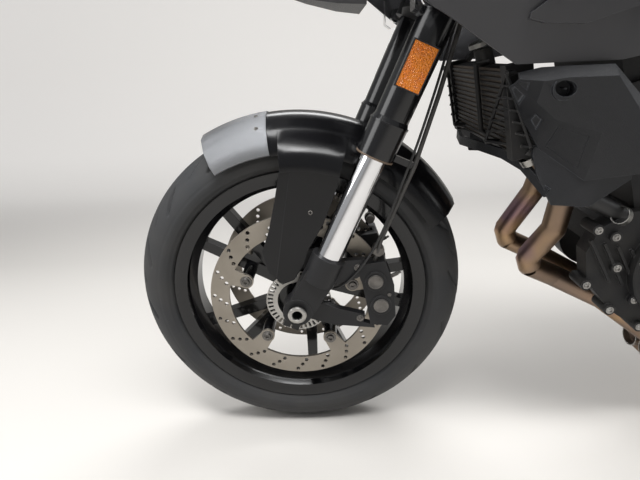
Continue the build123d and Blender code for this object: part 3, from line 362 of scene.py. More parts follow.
def tyre(name, size, centre_x, centre_z, materials):
    """A grooved tyre about its axle, closed inside along the CAD section's inner line."""
    radius, half, bead = size["radius"], size["width"] / 2 - 2, size["rim"] / 2
    crown = radius - size["crown"]
    edge = crown + math.sqrt(size["crown"] ** 2 - half ** 2)
    inner_r, inner_half = size["crown"] - TYRE_WALL, half - TYRE_WALL
    inner_edge = crown + math.sqrt(inner_r ** 2 - inner_half ** 2)
    flank = (RIM_FLANGE_R + 1, bead)
    bulge = ((edge + RIM_FLANGE_R) / 2 + 3, size["width"] / 2)
    side = arc_through((edge, half), bulge, flank, SIDE_STEPS)
    for share, height in SIDE_RINGS:
        side[int(share * SIDE_STEPS), 1] += height
    crown_line = arc_through((edge, -half), (radius, 0), (edge, half), CROWN_STEPS)
    foot = np.array([flank, (BEAD_SEAT_R, bead), (BEAD_SEAT_R, bead - 12)])
    inside = arc_through((inner_edge, inner_half), (crown + inner_r, 0), (inner_edge, -inner_half), 12)
    mirror = np.array([1, -1])
    section = np.concatenate([crown_line, side, foot, inside, (foot * mirror)[::-1], (side * mirror)[:0:-1]])
    turn = np.arange(TYRE_TURNS) * 2 * math.pi / TYRE_TURNS
    r, y = np.tile(section[:, 0], (TYRE_TURNS, 1)), np.tile(section[:, 1], (TYRE_TURNS, 1))
    bend = np.arctan2(y, r - crown)
    pitch = 2 * math.pi * radius / size["repeats"]
    cut = groove_depth(-turn[:, None] * radius + 0 * r, bend * size["crown"], pitch)
    cut[:, CROWN_STEPS + 1:] = 0
    r, y = r - cut * np.cos(bend), y - cut * np.sin(bend)
    points = np.stack([centre_x + r * np.cos(turn)[:, None], y, centre_z + r * np.sin(turn)[:, None]], -1)
    mesh = mesh_from(name, points, turned_faces(TYRE_TURNS, len(section)))
    tread = np.ones((TYRE_TURNS, len(section)), int)
    tread[:, :CROWN_STEPS] = 0
    mesh.polygons.foreach_set("material_index", tread.ravel())
    mesh.update()
    return add_piece(name, mesh, materials, body_of[name.replace("grooved_", "")], 40,
                     [name.replace("grooved_", "")])


tread_rubber = finish("dusty_tread_rubber", (0.019, 0.020, 0.022), (0.034, 0.033, 0.032), 0.6, 0.8, 1400,
                      0.3, 12)
# The sides' rubber is darker than the tread's as painted shade.
side_rubber_painted_shade = finish("moulded_side_rubber_painted_shade", (0.007, 0.007, 0.0075), (0.011, 0.0105, 0.0105), 0.42, 0.6, 1400,
                     0.2, 14)
tyre("grooved_front_tyre", FRONT_TYRE, 0.0, FRONT_Z, [tread_rubber, side_rubber_painted_shade])
tyre("grooved_rear_tyre", REAR_TYRE, -WHEELBASE, REAR_Z, [tread_rubber, side_rubber_painted_shade])

# The wheels: cast aluminium rims in gloss black powder coat, with five pairs of swept spokes, a bent valve
# and stuck-on balance weights. Each stands for its CAD node, its seams closed so that the casting shades as
# one.
VALVE_ANGLE = 250.0
WEIGHT_ANGLES = (118.0, 122.5, 127.0)
# A solid turned form starts this far off its axis.
AXIS_R = 0.1

gloss_black = finish("gloss_black_powder_coat", (0.0035, 0.0035, 0.004), (0.006, 0.006, 0.007), 0.14, 0.24,
                     500, 0.05, edge=(0.02, 0.02, 0.022), edge_radius=0.0012, specular_ior_level=0.35,
                     coat_weight=0.25, coat_roughness=0.05)
bright_steel = finish("turned_steel", (0.40, 0.39, 0.37), (0.30, 0.29, 0.27), 0.24, 0.38, 900, 0.1, 30,
                      edge=(0.62, 0.61, 0.58), edge_radius=0.0005, metallic=1)
valve_rubber = finish("valve_rubber", (0.012, 0.012, 0.012), (0.02, 0.02, 0.02), 0.5, 0.6, 900, 0.2)


def closed_copy(name, weld=0.00001):
    """A copy of a CAD node's mesh with its loose triangles joined, in the upright machine's millimetres."""
    mesh = nodes[name].data.copy()
    mesh.name = "joined_" + name
    if "custom_normal" in mesh.attributes:
        mesh.attributes.remove(mesh.attributes["custom_normal"])
    form = bmesh.new()
    form.from_mesh(mesh)
    bmesh.ops.remove_doubles(form, verts=form.verts, dist=weld)
    bmesh.ops.transform(form, matrix=PARKED.inverted(), verts=form.verts)
    form.to_mesh(mesh)
    form.free()
    return mesh


def joined(name, material, angle=35.0):
    """A CAD node's own form, shaded as one surface between its real edges."""
    return add_piece("joined_" + name, closed_copy(name), material, body_of[name], angle, [name])


def lathe(profile, start, end, turns=32):
    """A closed profile of (radius, distance along) turned about the line from start to end."""
    start, end = Vector(start), Vector(end)
    axis = (end - start).normalized()
    side = axis.orthogonal().normalized()
    rise = axis.cross(side)
    points = []
    for turn in range(turns):
        a = 2 * math.pi * turn / turns
        out = side * math.cos(a) + rise * math.sin(a)
        points += [start + axis * along + out * radius for radius, along in profile]
    return mesh_from("turned", points, [face[::-1] for face in turned_faces(turns, len(profile))])


def spindle(profile, start, end, turns=32):
    """A solid turned form, whose profile is drawn in to the axis at both ends."""
    return lathe([(AXIS_R, profile[0][1]), *profile, (AXIS_R, profile[-1][1])], start, end, turns)


def rod(radius, low, high, start, end, turns=32):
    """A plain round bar from low to high along the line from start."""
    return spindle([(radius, low), (radius, high)], start, end, turns)


def merged(name, *meshes):
    """Several meshes as one."""
    form = bmesh.new()
    for mesh in meshes:
        form.from_mesh(mesh)
        bpy.data.meshes.remove(mesh)
    made = bpy.data.meshes.new(name)
    bmesh.ops.remove_doubles(form, verts=form.verts, dist=0.001)
    bmesh.ops.recalc_face_normals(form, faces=form.faces)
    form.to_mesh(made)
    form.free()
    return made


def polar(radius, angle):
    """The (x, z) point at an angle above the forward direction."""
    return radius * math.cos(math.radians(angle)), radius * math.sin(math.radians(angle))


def on_circle(radius, count, start=0.0):
    """The (x, z) points evenly spaced round a circle."""
    return [polar(radius, start + 360 / count * index) for index in range(count)]


def bar_across(radius, low, high, x, z, sides=32):
    """A round bar across the machine."""
    return rod(radius, low, high, (x, 0, z), (x, 1, z), sides)


def placed(x, y, z, tilt=0.0):
    """The place of a box or plate, tipped nose down by an angle about the machine's cross axis."""
    return Matrix.Translation((x, y, z)) @ Matrix.Rotation(math.radians(tilt), 4, "Y")


def box(place, size):
    """A box of a size about its place."""
    corners = [place @ Vector((sx * size[0] / 2, sy * size[1] / 2, sz * size[2] / 2))
               for sx in (-1, 1) for sy in (-1, 1) for sz in (-1, 1)]
    return mesh_from("box", corners, [(0, 1, 3, 2), (4, 6, 7, 5), (0, 4, 5, 1), (2, 3, 7, 6), (1, 5, 7, 3),
                                      (0, 2, 6, 4)])


for node, wheel_x, wheel_z in (("front_rim", 0.0, FRONT_Z), ("rear_rim", -WHEELBASE, REAR_Z)):
    joined(node, gloss_black, 32)
    foot_x, foot_z = polar(194, VALVE_ANGLE)
    cap_x, cap_z = polar(160, VALVE_ANGLE)
    stem = spindle([(6.5, 0), (6.5, 8), (4, 12), (4, 22), (4.6, 22.5), (4.6, 34)],
                 (wheel_x + foot_x, 4, wheel_z + foot_z), (wheel_x + cap_x, 14, wheel_z + cap_z), 16)
    add_piece(node.replace("rim", "valve"), stem, valve_rubber, body_of[node], 40)
    weights = []
    for angle in WEIGHT_ANGLES:
        x, z = polar(193.5, angle)
        weights.append(box(placed(wheel_x + x, -1, wheel_z + z, 90 - angle), (12, 18, 4)))
    add_piece(node.replace("rim", "weights"), weights, bright_steel, body_of[node])

# Bolts: button heads with a hexagonal socket, each on its washer. One tree of geometry nodes makes the head
# from its sizes and sets a copy on every point of a mesh, turned to that point's own direction.
BUTTON = {"Head Radius": 5.0, "Head Height": 3.2, "Socket Radius": 2.4, "Washer Radius": 6.4}
LARGE = {"Head Radius": 8.0, "Head Height": 4.5, "Socket Radius": 3.6, "Washer Radius": 11.0}
SMALL = {"Head Radius": 3.4, "Head Height": 2.2, "Socket Radius": 1.5, "Washer Radius": 3.9}


def geometry_tree(name, inputs):
    """An empty tree of geometry nodes with named inputs, given as (name, type)."""
    tree = bpy.data.node_groups.new(name, "GeometryNodeTree")
    for label, kind in (("Geometry", "Geometry"), *inputs):
        tree.interface.new_socket(name=label, in_out="INPUT", socket_type="NodeSocket" + kind)
    tree.interface.new_socket(name="Geometry", in_out="OUTPUT", socket_type="NodeSocketGeometry")
    return tree, tree.nodes.new("NodeGroupInput"), tree.nodes.new("NodeGroupOutput")


def set_on_points(tree, points, instance, **turned):
    """Copies of a form on points, each turned to the way its point faces, as plain geometry."""
    way = new_node(tree, "GeometryNodeInputNamedAttribute", {"Name": "facing"}, data_type="FLOAT_VECTOR")
    aligned = new_node(tree, "FunctionNodeAlignRotationToVector", {"Vector": way.outputs["Attribute"]},
                       **turned)
    copies = new_node(tree, "GeometryNodeInstanceOnPoints", {"Points": points, "Instance": instance,
                                                             "Rotation": aligned.outputs["Rotation"]})
    return new_node(tree, "GeometryNodeRealizeInstances",
                    {"Geometry": copies.outputs["Instances"]}).outputs[0]


bolt_tree, bolt_in, bolt_out = geometry_tree(
    "bolts_on_points", [*((label, "Float") for label in BUTTON), ("Finish", "Material")])


def scaled_up(socket, factor):
    """A size of the bolt times a plain number."""
    return new_node(bolt_tree, "ShaderNodeMath", {0: socket, 1: factor}, operation="MULTIPLY").outputs[0]


def bolt_cone(sides, foot, top, height):
    """A cone of the bolt's head, from its sizes, standing on the surface."""
    return new_node(bolt_tree, "GeometryNodeMeshCone", {"Vertices": sides, "Radius Bottom": foot,
                                                        "Radius Top": top, "Depth": height}).outputs["Mesh"]


head_r, head_h, socket_r, washer_r = bolt_in.outputs[1:5]
head = bolt_cone(20, head_r, scaled_up(head_r, 0.74), head_h)
lift = new_node(bolt_tree, "ShaderNodeCombineXYZ", {"Z": scaled_up(head_h, 0.45)})
raised = new_node(bolt_tree, "GeometryNodeTransform", {"Geometry": bolt_cone(6, socket_r, socket_r, head_h),
                                                       "Translation": lift.outputs[0]})
socketed = new_node(bolt_tree, "GeometryNodeMeshBoolean",
                    {"Mesh 1": head, "Mesh 2": raised.outputs["Geometry"]}, operation="DIFFERENCE")
whole = new_node(bolt_tree, "GeometryNodeJoinGeometry", {"Geometry": socketed.outputs["Mesh"]})
feed(bolt_tree, whole.inputs["Geometry"], bolt_cone(20, washer_r, scaled_up(washer_r, 0.94),
                                                    scaled_up(head_h, 0.3)))
bolts_real = set_on_points(bolt_tree, bolt_in.outputs["Geometry"], whole.outputs["Geometry"], axis="Z")
bolts_dressed = new_node(bolt_tree, "GeometryNodeSetMaterial",
                         {"Geometry": bolts_real, "Material": bolt_in.outputs["Finish"]})
feed(bolt_tree, bolt_out.inputs["Geometry"], bolts_dressed.outputs["Geometry"])


def grown(tree, points, directions, values):
    """The plain mesh that a tree of geometry nodes makes on points, each with its own direction."""
    mesh = mesh_from("points", points, [])
    attribute = mesh.attributes.new("facing", "FLOAT_VECTOR", "POINT")
    attribute.data.foreach_set("vector", np.asarray(directions, float).ravel())
    carrier = in_scene("points", mesh)
    modifier = carrier.modifiers.new("grown", "NODES")
    modifier.node_group = tree
    for item in tree.interface.items_tree:
        if item.in_out == "INPUT" and item.name in values:
            modifier[item.identifier] = values[item.name]
    made = evaluated_mesh(carrier)
    carrier.modifiers.remove(modifier)
    bpy.data.objects.remove(carrier)
    return made


def bolts(name, body, size, spots, material):
    """Bolts on one body: each spot is a point and the direction its head faces."""
    values = dict(size, Finish=material)
    made = grown(bolt_tree, [spot[:3] for spot in spots], [spot[3:] for spot in spots], values)
    return add_piece(name, made, material, body, 35)


def both_sides(spots):
    """Spots on the left side and their twins on the right."""
    return spots + [(x, -y, z, dx, -dy, dz) for x, y, z, dx, dy, dz in spots]


# Brake discs: ground stainless steel with slanted rows of holes, worn to a warm grey, floating on five bolts
# that hold each disc to its wheel.
DISC_BOLT_R = 100.0
DISC_FACE_Y = 66.2
SPOKE_START = 21.0
DISC_BAND = 34.0
DISC_HOLES, DISC_SLANT, HOLE_R = 20, 3.4, 3.6

disc_steel = finish("ground_disc_steel", (0.31, 0.28, 0.24), (0.24, 0.215, 0.18), 0.36, 0.48, 700, 0.1, 9,
                    edge=(0.30, 0.27, 0.24), edge_radius=0.0006, metallic=0.85)
button_steel = finish("dull_bolt_steel", (0.17, 0.16, 0.15), (0.10, 0.095, 0.09), 0.34, 0.5, 1200, 0.2, 60,
                      edge=(0.4, 0.39, 0.37), edge_radius=0.0004, metallic=1)


def cut(mesh, cutter):
    """A mesh less the room of another."""
    whole, tool = in_scene("whole", mesh), in_scene("cutter", cutter)
    less = whole.modifiers.new("less", "BOOLEAN")
    less.operation = "DIFFERENCE"
    less.solver = "EXACT"
    less.object = tool
    made = evaluated_mesh(whole)
    bpy.data.objects.remove(whole)
    bpy.data.objects.remove(tool)
    return made


# columns: node, x and z of its wheel, disc radius
for node, wheel_x, wheel_z, radius in (("front_discs", 0, FRONT_Z, 160),
                                       ("rear_disc", -WHEELBASE, REAR_Z, 132.5)):
    holes = []
    for row in (-1, 0, 1):
        for x, z in on_circle(radius - DISC_BAND * (0.5 - 0.29 * row), DISC_HOLES, row * DISC_SLANT):
            holes.append(bar_across(HOLE_R, -120, 120, wheel_x + x, wheel_z + z, 14))
    add_piece("drilled_" + node, cut(closed_copy(node), merged("holes", *holes)), disc_steel, body_of[node],
              30, [node])
disc_spots = [(x, DISC_FACE_Y, FRONT_Z + z, 0, 1, 0) for x, z in on_circle(DISC_BOLT_R, 5, SPOKE_START)]
bolts("front_disc_bolts", "front_wheel", LARGE, both_sides(disc_spots), button_steel)
rear_spots = [(-WHEELBASE + x, y, REAR_Z + z, 0, side, 0) for radius, y, side in ((62, -98.5, -1),
                                                                                  (56, 109.5, 1))
              for x, z in on_circle(radius, 5, SPOKE_START)]
bolts("rear_disc_and_sprocket_bolts", "rear_wheel", LARGE, rear_spots, button_steel)

# The wheel speed sensor's ring: a thin pressed ring with forty radial slots, bolted to the hub within the
# left disc's bore.
RING_Y = 73.2
RING_SLOTS = 40

ring_points, ring_faces = [], []
for slot in range(2 * RING_SLOTS):
    for radius in (38.0, 46.5, 56.0, 58.0):
        for y in (RING_Y, RING_Y + 3):
            x, z = polar(radius, 180 * slot / RING_SLOTS)
            ring_points.append((x, y, FRONT_Z + z))
for slot in range(2 * RING_SLOTS):
    here, after = 8 * slot, 8 * ((slot + 1) % (2 * RING_SLOTS))
    for band in range(3):
        a, b = 2 * band, 2 * band + 2
        if band == 1 and slot % 2:
            ring_faces += [(here + a, here + b, here + b + 1, here + a + 1)]
            ring_faces += [(after + a, after + a + 1, after + b + 1, after + b)]
            ring_faces += [(here + a, here + a + 1, after + a + 1, after + a)]
            ring_faces += [(here + b, after + b, after + b + 1, here + b + 1)]
        else:
            ring_faces += [(here + a, here + b, after + b, after + a)]
            ring_faces += [(here + a + 1, after + a + 1, after + b + 1, here + b + 1)]
    for edge_place in (0, 6):
        ring_faces += [(here + edge_place, after + edge_place, after + edge_place + 1,
                        here + edge_place + 1)]
hub_sleeve = lathe([(38, 61.2), (45, 61.2), (45, RING_Y), (38, RING_Y)], (0, 0, FRONT_Z), (0, 1, FRONT_Z),
                   40)
add_piece("slotted_sensor_ring", merged("ring", mesh_from("ring", ring_points, ring_faces), hub_sleeve),
          bright_steel, "front_wheel", 30, ["wheel_sensor_ring"])

# The upside-down fork: cast feet in satin black, hard chromed stanchions, gloss black outer tubes with
# rubber dust seals at their mouths, screwed top caps with adjusters, and clamps that grip the tubes with
# pinch bolts.
RAKE = 24.0
TRAIL = 100.0
LEG_AHEAD = -12.0
LEG_Y = 100.0
TUBE_BOTTOM, TUBE_TOP = 293.0, 728.0
LOWER_CLAMP, UPPER_CLAMP = 522.0, 706.0

satin_black = finish("satin_black_powder_coat", (0.009, 0.009, 0.010), (0.015, 0.015, 0.016), 0.34, 0.48,
                     1600, 0.25, edge=(0.05, 0.05, 0.052), specular_ior_level=0.3)
chrome = finish("hard_chrome", (0.78, 0.78, 0.79), (0.72, 0.72, 0.73), 0.04, 0.09, 400, 0.02, metallic=1)
dust_seal = finish("bronze_seal_lip", (0.16, 0.11, 0.07), (0.10, 0.07, 0.05), 0.35, 0.5, 900, 0.2, 30)

rake = math.radians(RAKE)
AXLE_X = FRONT_TYRE["radius"] * math.sin(rake) - TRAIL * math.cos(rake)
LEG_X = AXLE_X + LEG_AHEAD
FORK = placed(-AXLE_X * math.cos(rake), 0, FRONT_Z - AXLE_X * math.sin(rake), -RAKE)
FORK_AHEAD = FORK.to_3x3() @ Vector((1, 0, 0))
FORK_UP = FORK.to_3x3() @ Vector((0, 0, 1))


def dress(material, *names):
    """Give CAD nodes their finish."""
    for name in names:
        nodes[name].data.materials.clear()
        nodes[name].data.materials.append(material)


for fork_node in ("fork_lowers", "triple_clamps"):
    joined(fork_node, satin_black, 35)
dress(chrome, "fork_stanchions")
dress(gloss_black, "fork_outer_tubes")
dress(bright_steel, "front_axle")
lips, caps, seal_rims, clamp_spots = [], [], [], []
for side in (1, -1):
    foot = FORK @ Vector((LEG_X, side * LEG_Y, TUBE_BOTTOM))
    head_end = FORK @ Vector((LEG_X, side * LEG_Y, TUBE_TOP + 9))
    lips.append(lathe([(21.7, -2.2), (29.9, -2.2), (30.3, -0.6), (29.9, 0.6), (21.7, 0.6)], foot,
                      foot + FORK_UP, 48))
    seal_rims.append(lathe([(28, 50.5), (30.4, 50.5), (30.4, 53.5), (28, 53.5)], foot, foot + FORK_UP, 48))
    caps.append(spindle([(22.5, 0), (22.5, 3), (20, 5), (14, 5), (14, 9), (7, 9), (7, 12)],
                      head_end, head_end + FORK_UP, 6))
    for level, reach in ((LOWER_CLAMP - 9, 30), (LOWER_CLAMP + 9, 30), (UPPER_CLAMP, 27)):
        spot = FORK @ Vector((LEG_X + 20, side * (LEG_Y + reach), level))
        clamp_spots.append((*spot, *(FORK_AHEAD * 0.5 + Vector((0, side * 0.86, 0)))))
add_piece("fork_seal_lips", lips, dust_seal, "steering")
add_piece("fork_seal_rims", seal_rims, gloss_black, "steering")
add_piece("fork_top_caps", caps, button_steel, "steering", 25)
clamp_spots.append((*(FORK @ Vector((0, 0, UPPER_CLAMP + 12))), *FORK_UP))
bolts("fork_clamp_bolts", "steering", BUTTON, clamp_spots, button_steel)

# What shows at each axle end is a bright flange round the hollow axle, over the pinch bolts of the foot.
# The mudguard's arms are held by two bolts a side, and each caliper by one at either end.
flanges = [lathe([(8.6, -1), (15.8, -1), (15.8, 1.5), (13.5, 3.5), (9.6, 3.5), (8.6, 2.5)],
                 (0, side * 124, FRONT_Z), (0, side * 125, FRONT_Z), 40) for side in (1, -1)]
add_piece("axle_end_flanges", flanges, bright_steel, "steering")
FAR_OFF = 1500.0


def seen_spots(name, places, view=(0, 1, 0)):
    """Where lines from one side, else the left, first meet a CAD node: each a point and the way it faces."""
    mesh = closed_copy(name)
    tree = BVHTree.FromPolygons([v.co for v in mesh.vertices],
                                [tuple(face.vertices) for face in mesh.polygons])
    bpy.data.meshes.remove(mesh)
    view = Vector(view).normalized()
    spots = []
    for place in places:
        place = Vector(place)
        hit, normal, _, _ = tree.ray_cast(place - view * (place.dot(view) - FAR_OFF), -view)
        if hit is not None:
            spots.append((*hit, *(normal if normal.dot(view) > 0 else -normal)))
    return spots


arm_spots = seen_spots("front_mudguard", [(13, 0, FRONT_Z + 86), (-28, 0, FRONT_Z + 172)])
casting_spots = seen_spots("fork_lowers", [(-104, 0, FRONT_Z + 74), (-108, 0, FRONT_Z - 24)])
for ahead in (-9, 9):
    casting_spots.append((*(FORK @ Vector((AXLE_X + ahead, LEG_Y, -33))), *(-FORK_UP)))
bolts("mudguard_arm_bolts", "steering", BUTTON, both_sides(arm_spots), button_steel)
bolts("caliper_and_pinch_bolts", "steering", BUTTON, both_sides(casting_spots), button_steel)

# Brake calipers: opposed-piston blocks machined and coated matt black, with piston caps, a pad pin, a bleed
# nipple and a banjo union for the hose. The hoses are steel braid in a smoky sleeve, with the speed sensor's
# cable beside.
PISTONS = ((-134, 48), (-144, 2))

caliper_black = finish("matt_caliper_coat", (0.008, 0.008, 0.009), (0.014, 0.014, 0.015), 0.42, 0.56, 1300,
                       0.3, 18, edge=(0.06, 0.06, 0.062), specular_ior_level=0.3)
hose_sleeve = finish("smoky_hose_sleeve", (0.030, 0.029, 0.028), (0.055, 0.052, 0.048), 0.22, 0.4, 1800, 0.3,
                     60, specular_ior_level=0.45)
cable_rubber = finish("cable_rubber", (0.009, 0.009, 0.009), (0.016, 0.016, 0.016), 0.4, 0.55, 1500, 0.2)


def smooth_line(points, steps=12):
    """A smooth line through points."""
    points = [Vector(point) for point in points]
    ends = [points[0] * 2 - points[1], *points, points[-1] * 2 - points[-2]]
    path = []
    for a, b, c, d in zip(ends, ends[1:], ends[2:], ends[3:]):
        for step in range(steps):
            t = step / steps
            path.append(0.5 * (2 * b + (c - a) * t + (2 * a - 5 * b + 4 * c - d) * t ** 2
                               + (3 * b - a - 3 * c + d) * t ** 3))
    return path + [points[-1]]


def bent_line(points, bend, steps=8):
    """Straight runs between points, with round bends of one radius at the corners."""
    points = [Vector(point) for point in points]
    path = [points[0]]
    for before, corner, after in zip(points, points[1:], points[2:]):
        to_before, to_after = (before - corner).normalized(), (after - corner).normalized()
        half_turn = (math.pi - to_before.angle(to_after)) / 2
        back = bend * math.tan(half_turn)
        middle = corner + (to_before + to_after).normalized() * bend / math.cos(half_turn)
        start, end = corner + to_before * back - middle, corner + to_after * back - middle
        for step in range(steps + 1):
            path.append(middle + start.slerp(end, step / steps))
    return path + [points[-1]]


def lofted(rings):
    """A closed form over rings that have as many points each."""
    count = len(rings[0])
    points = [point for ring in rings for point in ring]
    faces = []
    for b in range(count, len(points), count):
        faces += [(b - count + i, b - count + (i + 1) % count, b + (i + 1) % count, b + i)
                  for i in range(count)]
    faces += [tuple(range(count))[::-1], tuple(range(len(points) - count, len(points)))]
    return mesh_from("loft", points, faces)


def swept(path, radius, sides=10):
    """A round bar along a line."""
    side = (path[1] - path[0]).orthogonal().normalized()
    rings = []
    for index, spot in enumerate(path):
        along = (path[min(index + 1, len(path) - 1)] - path[max(index - 1, 0)]).normalized()
        side = (side - along * side.dot(along)).normalized()
        rise = along.cross(side)
        turns = [2 * math.pi * turn / sides for turn in range(sides)]
        rings.append([spot + (side * math.cos(a) + rise * math.sin(a)) * radius for a in turns])
    return lofted(rings[::-1])


def tube(points, radius, sides=10, steps=12):
    """A round bar drawn smoothly through points."""
    return swept(smooth_line(points, steps), radius, sides)


joined("rear_caliper", caliper_black, 30)
dress(hose_sleeve, "brake_hoses")
fittings, cables = [], []
for side in (1, -1):
    out = Vector((0, side, 0))
    for x, z in PISTONS:
        spot = Vector((x, side * 101, FRONT_Z + z))
        fittings.append(spindle([(13, -1), (13, 1.6), (11, 2.4), (9, 1.2)], spot, spot + out, 36))
    banjo = Vector((-139, side * 84, FRONT_Z + 100))
    fittings.append(spindle([(8, -16), (8, -4), (10.5, -4), (10.5, 5), (8, 5), (8, 11)], banjo,
                          banjo + out, 20))
    nipple = Vector((-166, side * 84, FRONT_Z + 52))
    fittings.append(spindle([(3.6, -8), (3.6, 8), (2.4, 9), (2.4, 14)], nipple,
                          nipple + Vector((-1, 0, 0.5)), 12))
    pin = Vector((-158, side * 70, FRONT_Z + 22))
    fittings.append(rod(3.2, -30, 30, pin, pin + out, 12))
    route = [(LEG_X - 18, 82, 40), (LEG_X - 46, 100, 78), (LEG_X - 62, 104, 160), (LEG_X - 52, 113, 302),
             (LEG_X - 40, 108, 408), (LEG_X - 26, 98, 503)]
    cables.append(tube([FORK @ Vector((x, side * y, z)) for x, y, z in route], 2.0))
add_piece("caliper_fittings", fittings, button_steel, "steering", 35)
add_piece("speed_sensor_cables", cables, cable_rubber, "steering", 50)

# The calipers are stepped bodies astride their discs, with a window over the pads and two piston bosses.
CALIPER_OUTLINE = [(-100, 78), (-150, 84), (-166, 40), (-170, -20), (-156, -40), (-126, -36), (-120, 0),
                   (-112, 42)]
CALIPER_WINDOW = [(-190, 42), (-142, 38), (-146, -6), (-190, -10)]
DISC_Y, ROTOR_ROOM = 63.7, 7.5


def plate(outline, y_low, y_high):
    """A plate across the machine whose outline of (x, z) points is seen from the side."""
    return merged("plate", lofted([[(x, y, z) for x, z in outline] for y in (y_low, y_high)]))


def both(mesh):
    """A left piece and its twin on the right as one mesh."""
    twin = mesh.copy()
    twin.transform(Matrix.Scale(-1, 4, (0, 1, 0)))
    return merged("both", mesh, twin)


rotor_room = lathe([(100, -ROTOR_ROOM), (165, -ROTOR_ROOM), (165, ROTOR_ROOM), (100, ROTOR_ROOM)],
                   (0, DISC_Y, FRONT_Z), (0, DISC_Y + 1, FRONT_Z), 60)
window = plate([(x, FRONT_Z + z) for x, z in CALIPER_WINDOW], DISC_Y - ROTOR_ROOM, DISC_Y + ROTOR_ROOM)
block = plate([(x, FRONT_Z + z) for x, z in CALIPER_OUTLINE], 36, 98.4)
caliper = cut(cut(block, rotor_room), window)
bosses = [bar_across(18, 94, 101, x, FRONT_Z + z, 36) for x, z in PISTONS]
add_piece("shaped_front_calipers", both(merged("caliper", caliper, *bosses)), caliper_black, "steering", 30,
          ["front_calipers"])
lugs = [box(FORK @ Matrix.Translation((AXLE_X + ahead, side * LEG_Y, -25)), (12.5, 30, 16))
        for side in (1, -1) for ahead in (-7.75, 7.75)]
add_piece("axle_pinch_lugs", lugs, satin_black, "steering")

# Reflectors: amber prismatic plastic in a thin frame, stuck to a pad on each outer fork tube.
REFLECTOR = (LEG_X + 4, 136.0, 428.0)

amber = finish("amber_prism_plastic", (0.72, 0.21, 0.010), (0.56, 0.13, 0.005), 0.16, 0.3, 260, 0.9, 60,
               0.002)
amber_tree, amber_nodes, amber_place = placed_by(amber)
sparkle = new_node(amber_tree, "ShaderNodeTexVoronoi", {"Scale": 420.0, "Vector": amber_place})
feed(amber_tree, amber_nodes["Bump"].inputs["Height"], sparkle.outputs["Distance"])
black_plastic = finish("black_moulded_plastic", (0.010, 0.010, 0.011), (0.017, 0.017, 0.018), 0.42, 0.58,
                       1300, 0.35, edge=(0.035, 0.035, 0.036), specular_ior_level=0.3)
dress(amber, "reflectors")
frames = []
for side in (1, -1):
    for ahead, up, width, height in ((0, 31.5, 37.6, 1.8), (0, -31.5, 37.6, 1.8), (18, 0, 1.8, 62),
                                     (-18, 0, 1.8, 62)):
        spot = Matrix.Translation((REFLECTOR[0] + ahead, side * REFLECTOR[1], REFLECTOR[2] + up))
        frames.append(box(FORK @ spot, (width, 7.8, height)))
add_piece("reflector_frames", frames, black_plastic, "steering")

# The front mudguard: gloss black moulded plastic with folded arms down to the fork's feet, and a separate
# tip in silver satin paint. Small screws hold the tip to the guard.
gloss_plastic = finish("gloss_black_plastic", (0.003, 0.003, 0.0035), (0.005, 0.005, 0.006), 0.16, 0.26, 300,
                       0.03, specular_ior_level=0.3, edge=(0.02, 0.02, 0.022), edge_radius=0.0015)
silver_paint = finish("silver_satin_paint", (0.20, 0.205, 0.215), (0.24, 0.245, 0.255), 0.3, 0.38, 2600, 0.5,
                      9, 0.0009, metallic=0.75, edge=(0.34, 0.35, 0.36), edge_radius=0.001)
joined("front_mudguard", gloss_plastic, 50)
joined("mudguard_tip", silver_paint, 50)
crease_top, crease_foot = Vector((0, 252)), Vector((34, 58))
crease = (crease_foot - crease_top).normalized()
AHEAD = [(0, 252), (15, 257), (30, 188), (42, 141), (56, 103), (47, 64), (34, 58)]
BEHIND = [(0, 252), (34, 58), (25, 44), (4, 52), (-14, 80), (-22, 106), (-48, 150), (-64, 190), (-76, 226),
          (-78, 236)]
folds = []
for outline, slope in ((AHEAD, 0.19), (BEHIND, 0.07)):
    rows = []
    for x, z in outline:
        away = abs((z - crease_top.y) * crease.x - (x - crease_top.x) * crease.y)
        rows.append((x, 97 - slope * away, z))
    for side in (1, -1):
        folds.append(lofted([[(x, side * y, FRONT_Z + z) for x, y, z in rows],
                             [(x, side * 88, FRONT_Z + z) for x, _, z in rows]]))
add_piece("folded_arm_faces", folds, gloss_plastic, "steering", 8)
seam_x, seam_z = polar(326, 79.5)
tip_spots = seen_spots("mudguard_tip", [(seam_x, y, FRONT_Z + seam_z) for y in (-50, -22, 22, 50)],
                       (seam_x, 0, seam_z))
bolts("mudguard_tip_screws", "steering", SMALL, tip_spots, button_steel)

# The handlebar and its controls: a steel bar in black, ribbed rubber grips, moulded switch housings with
# their buttons, cast levers, fluid pots with screwed lids, and mirrors on stalks with silvered glass.
GRIP_LENGTH = 120.0
BAR_END = Vector((-62.0, 405.0, 872.0))
BAR_ROOT = Vector((20.0, 200.0, 878.0))

grip_rubber = finish("grip_rubber", (0.012, 0.012, 0.012), (0.022, 0.022, 0.022), 0.55, 0.7, 1500, 0.4,
                     specular_ior_level=0.3)
lever_metal = finish("cast_lever_black", (0.012, 0.012, 0.013), (0.03, 0.03, 0.03), 0.3, 0.42, 900, 0.15,
                     edge=(0.12, 0.12, 0.12), specular_ior_level=0.4)
mirror_glass = finish("mirror_glass", (0.85, 0.86, 0.87), (0.82, 0.83, 0.84), 0.01, 0.02, 200, 0.0,
                      metallic=1)
red_plastic = finish("red_switch_plastic", (0.42, 0.012, 0.01), (0.3, 0.01, 0.01), 0.35, 0.45, 900, 0.2)
pot_plastic = finish("fluid_pot_plastic", (0.10, 0.085, 0.05), (0.07, 0.06, 0.035), 0.25, 0.35, 800, 0.1)


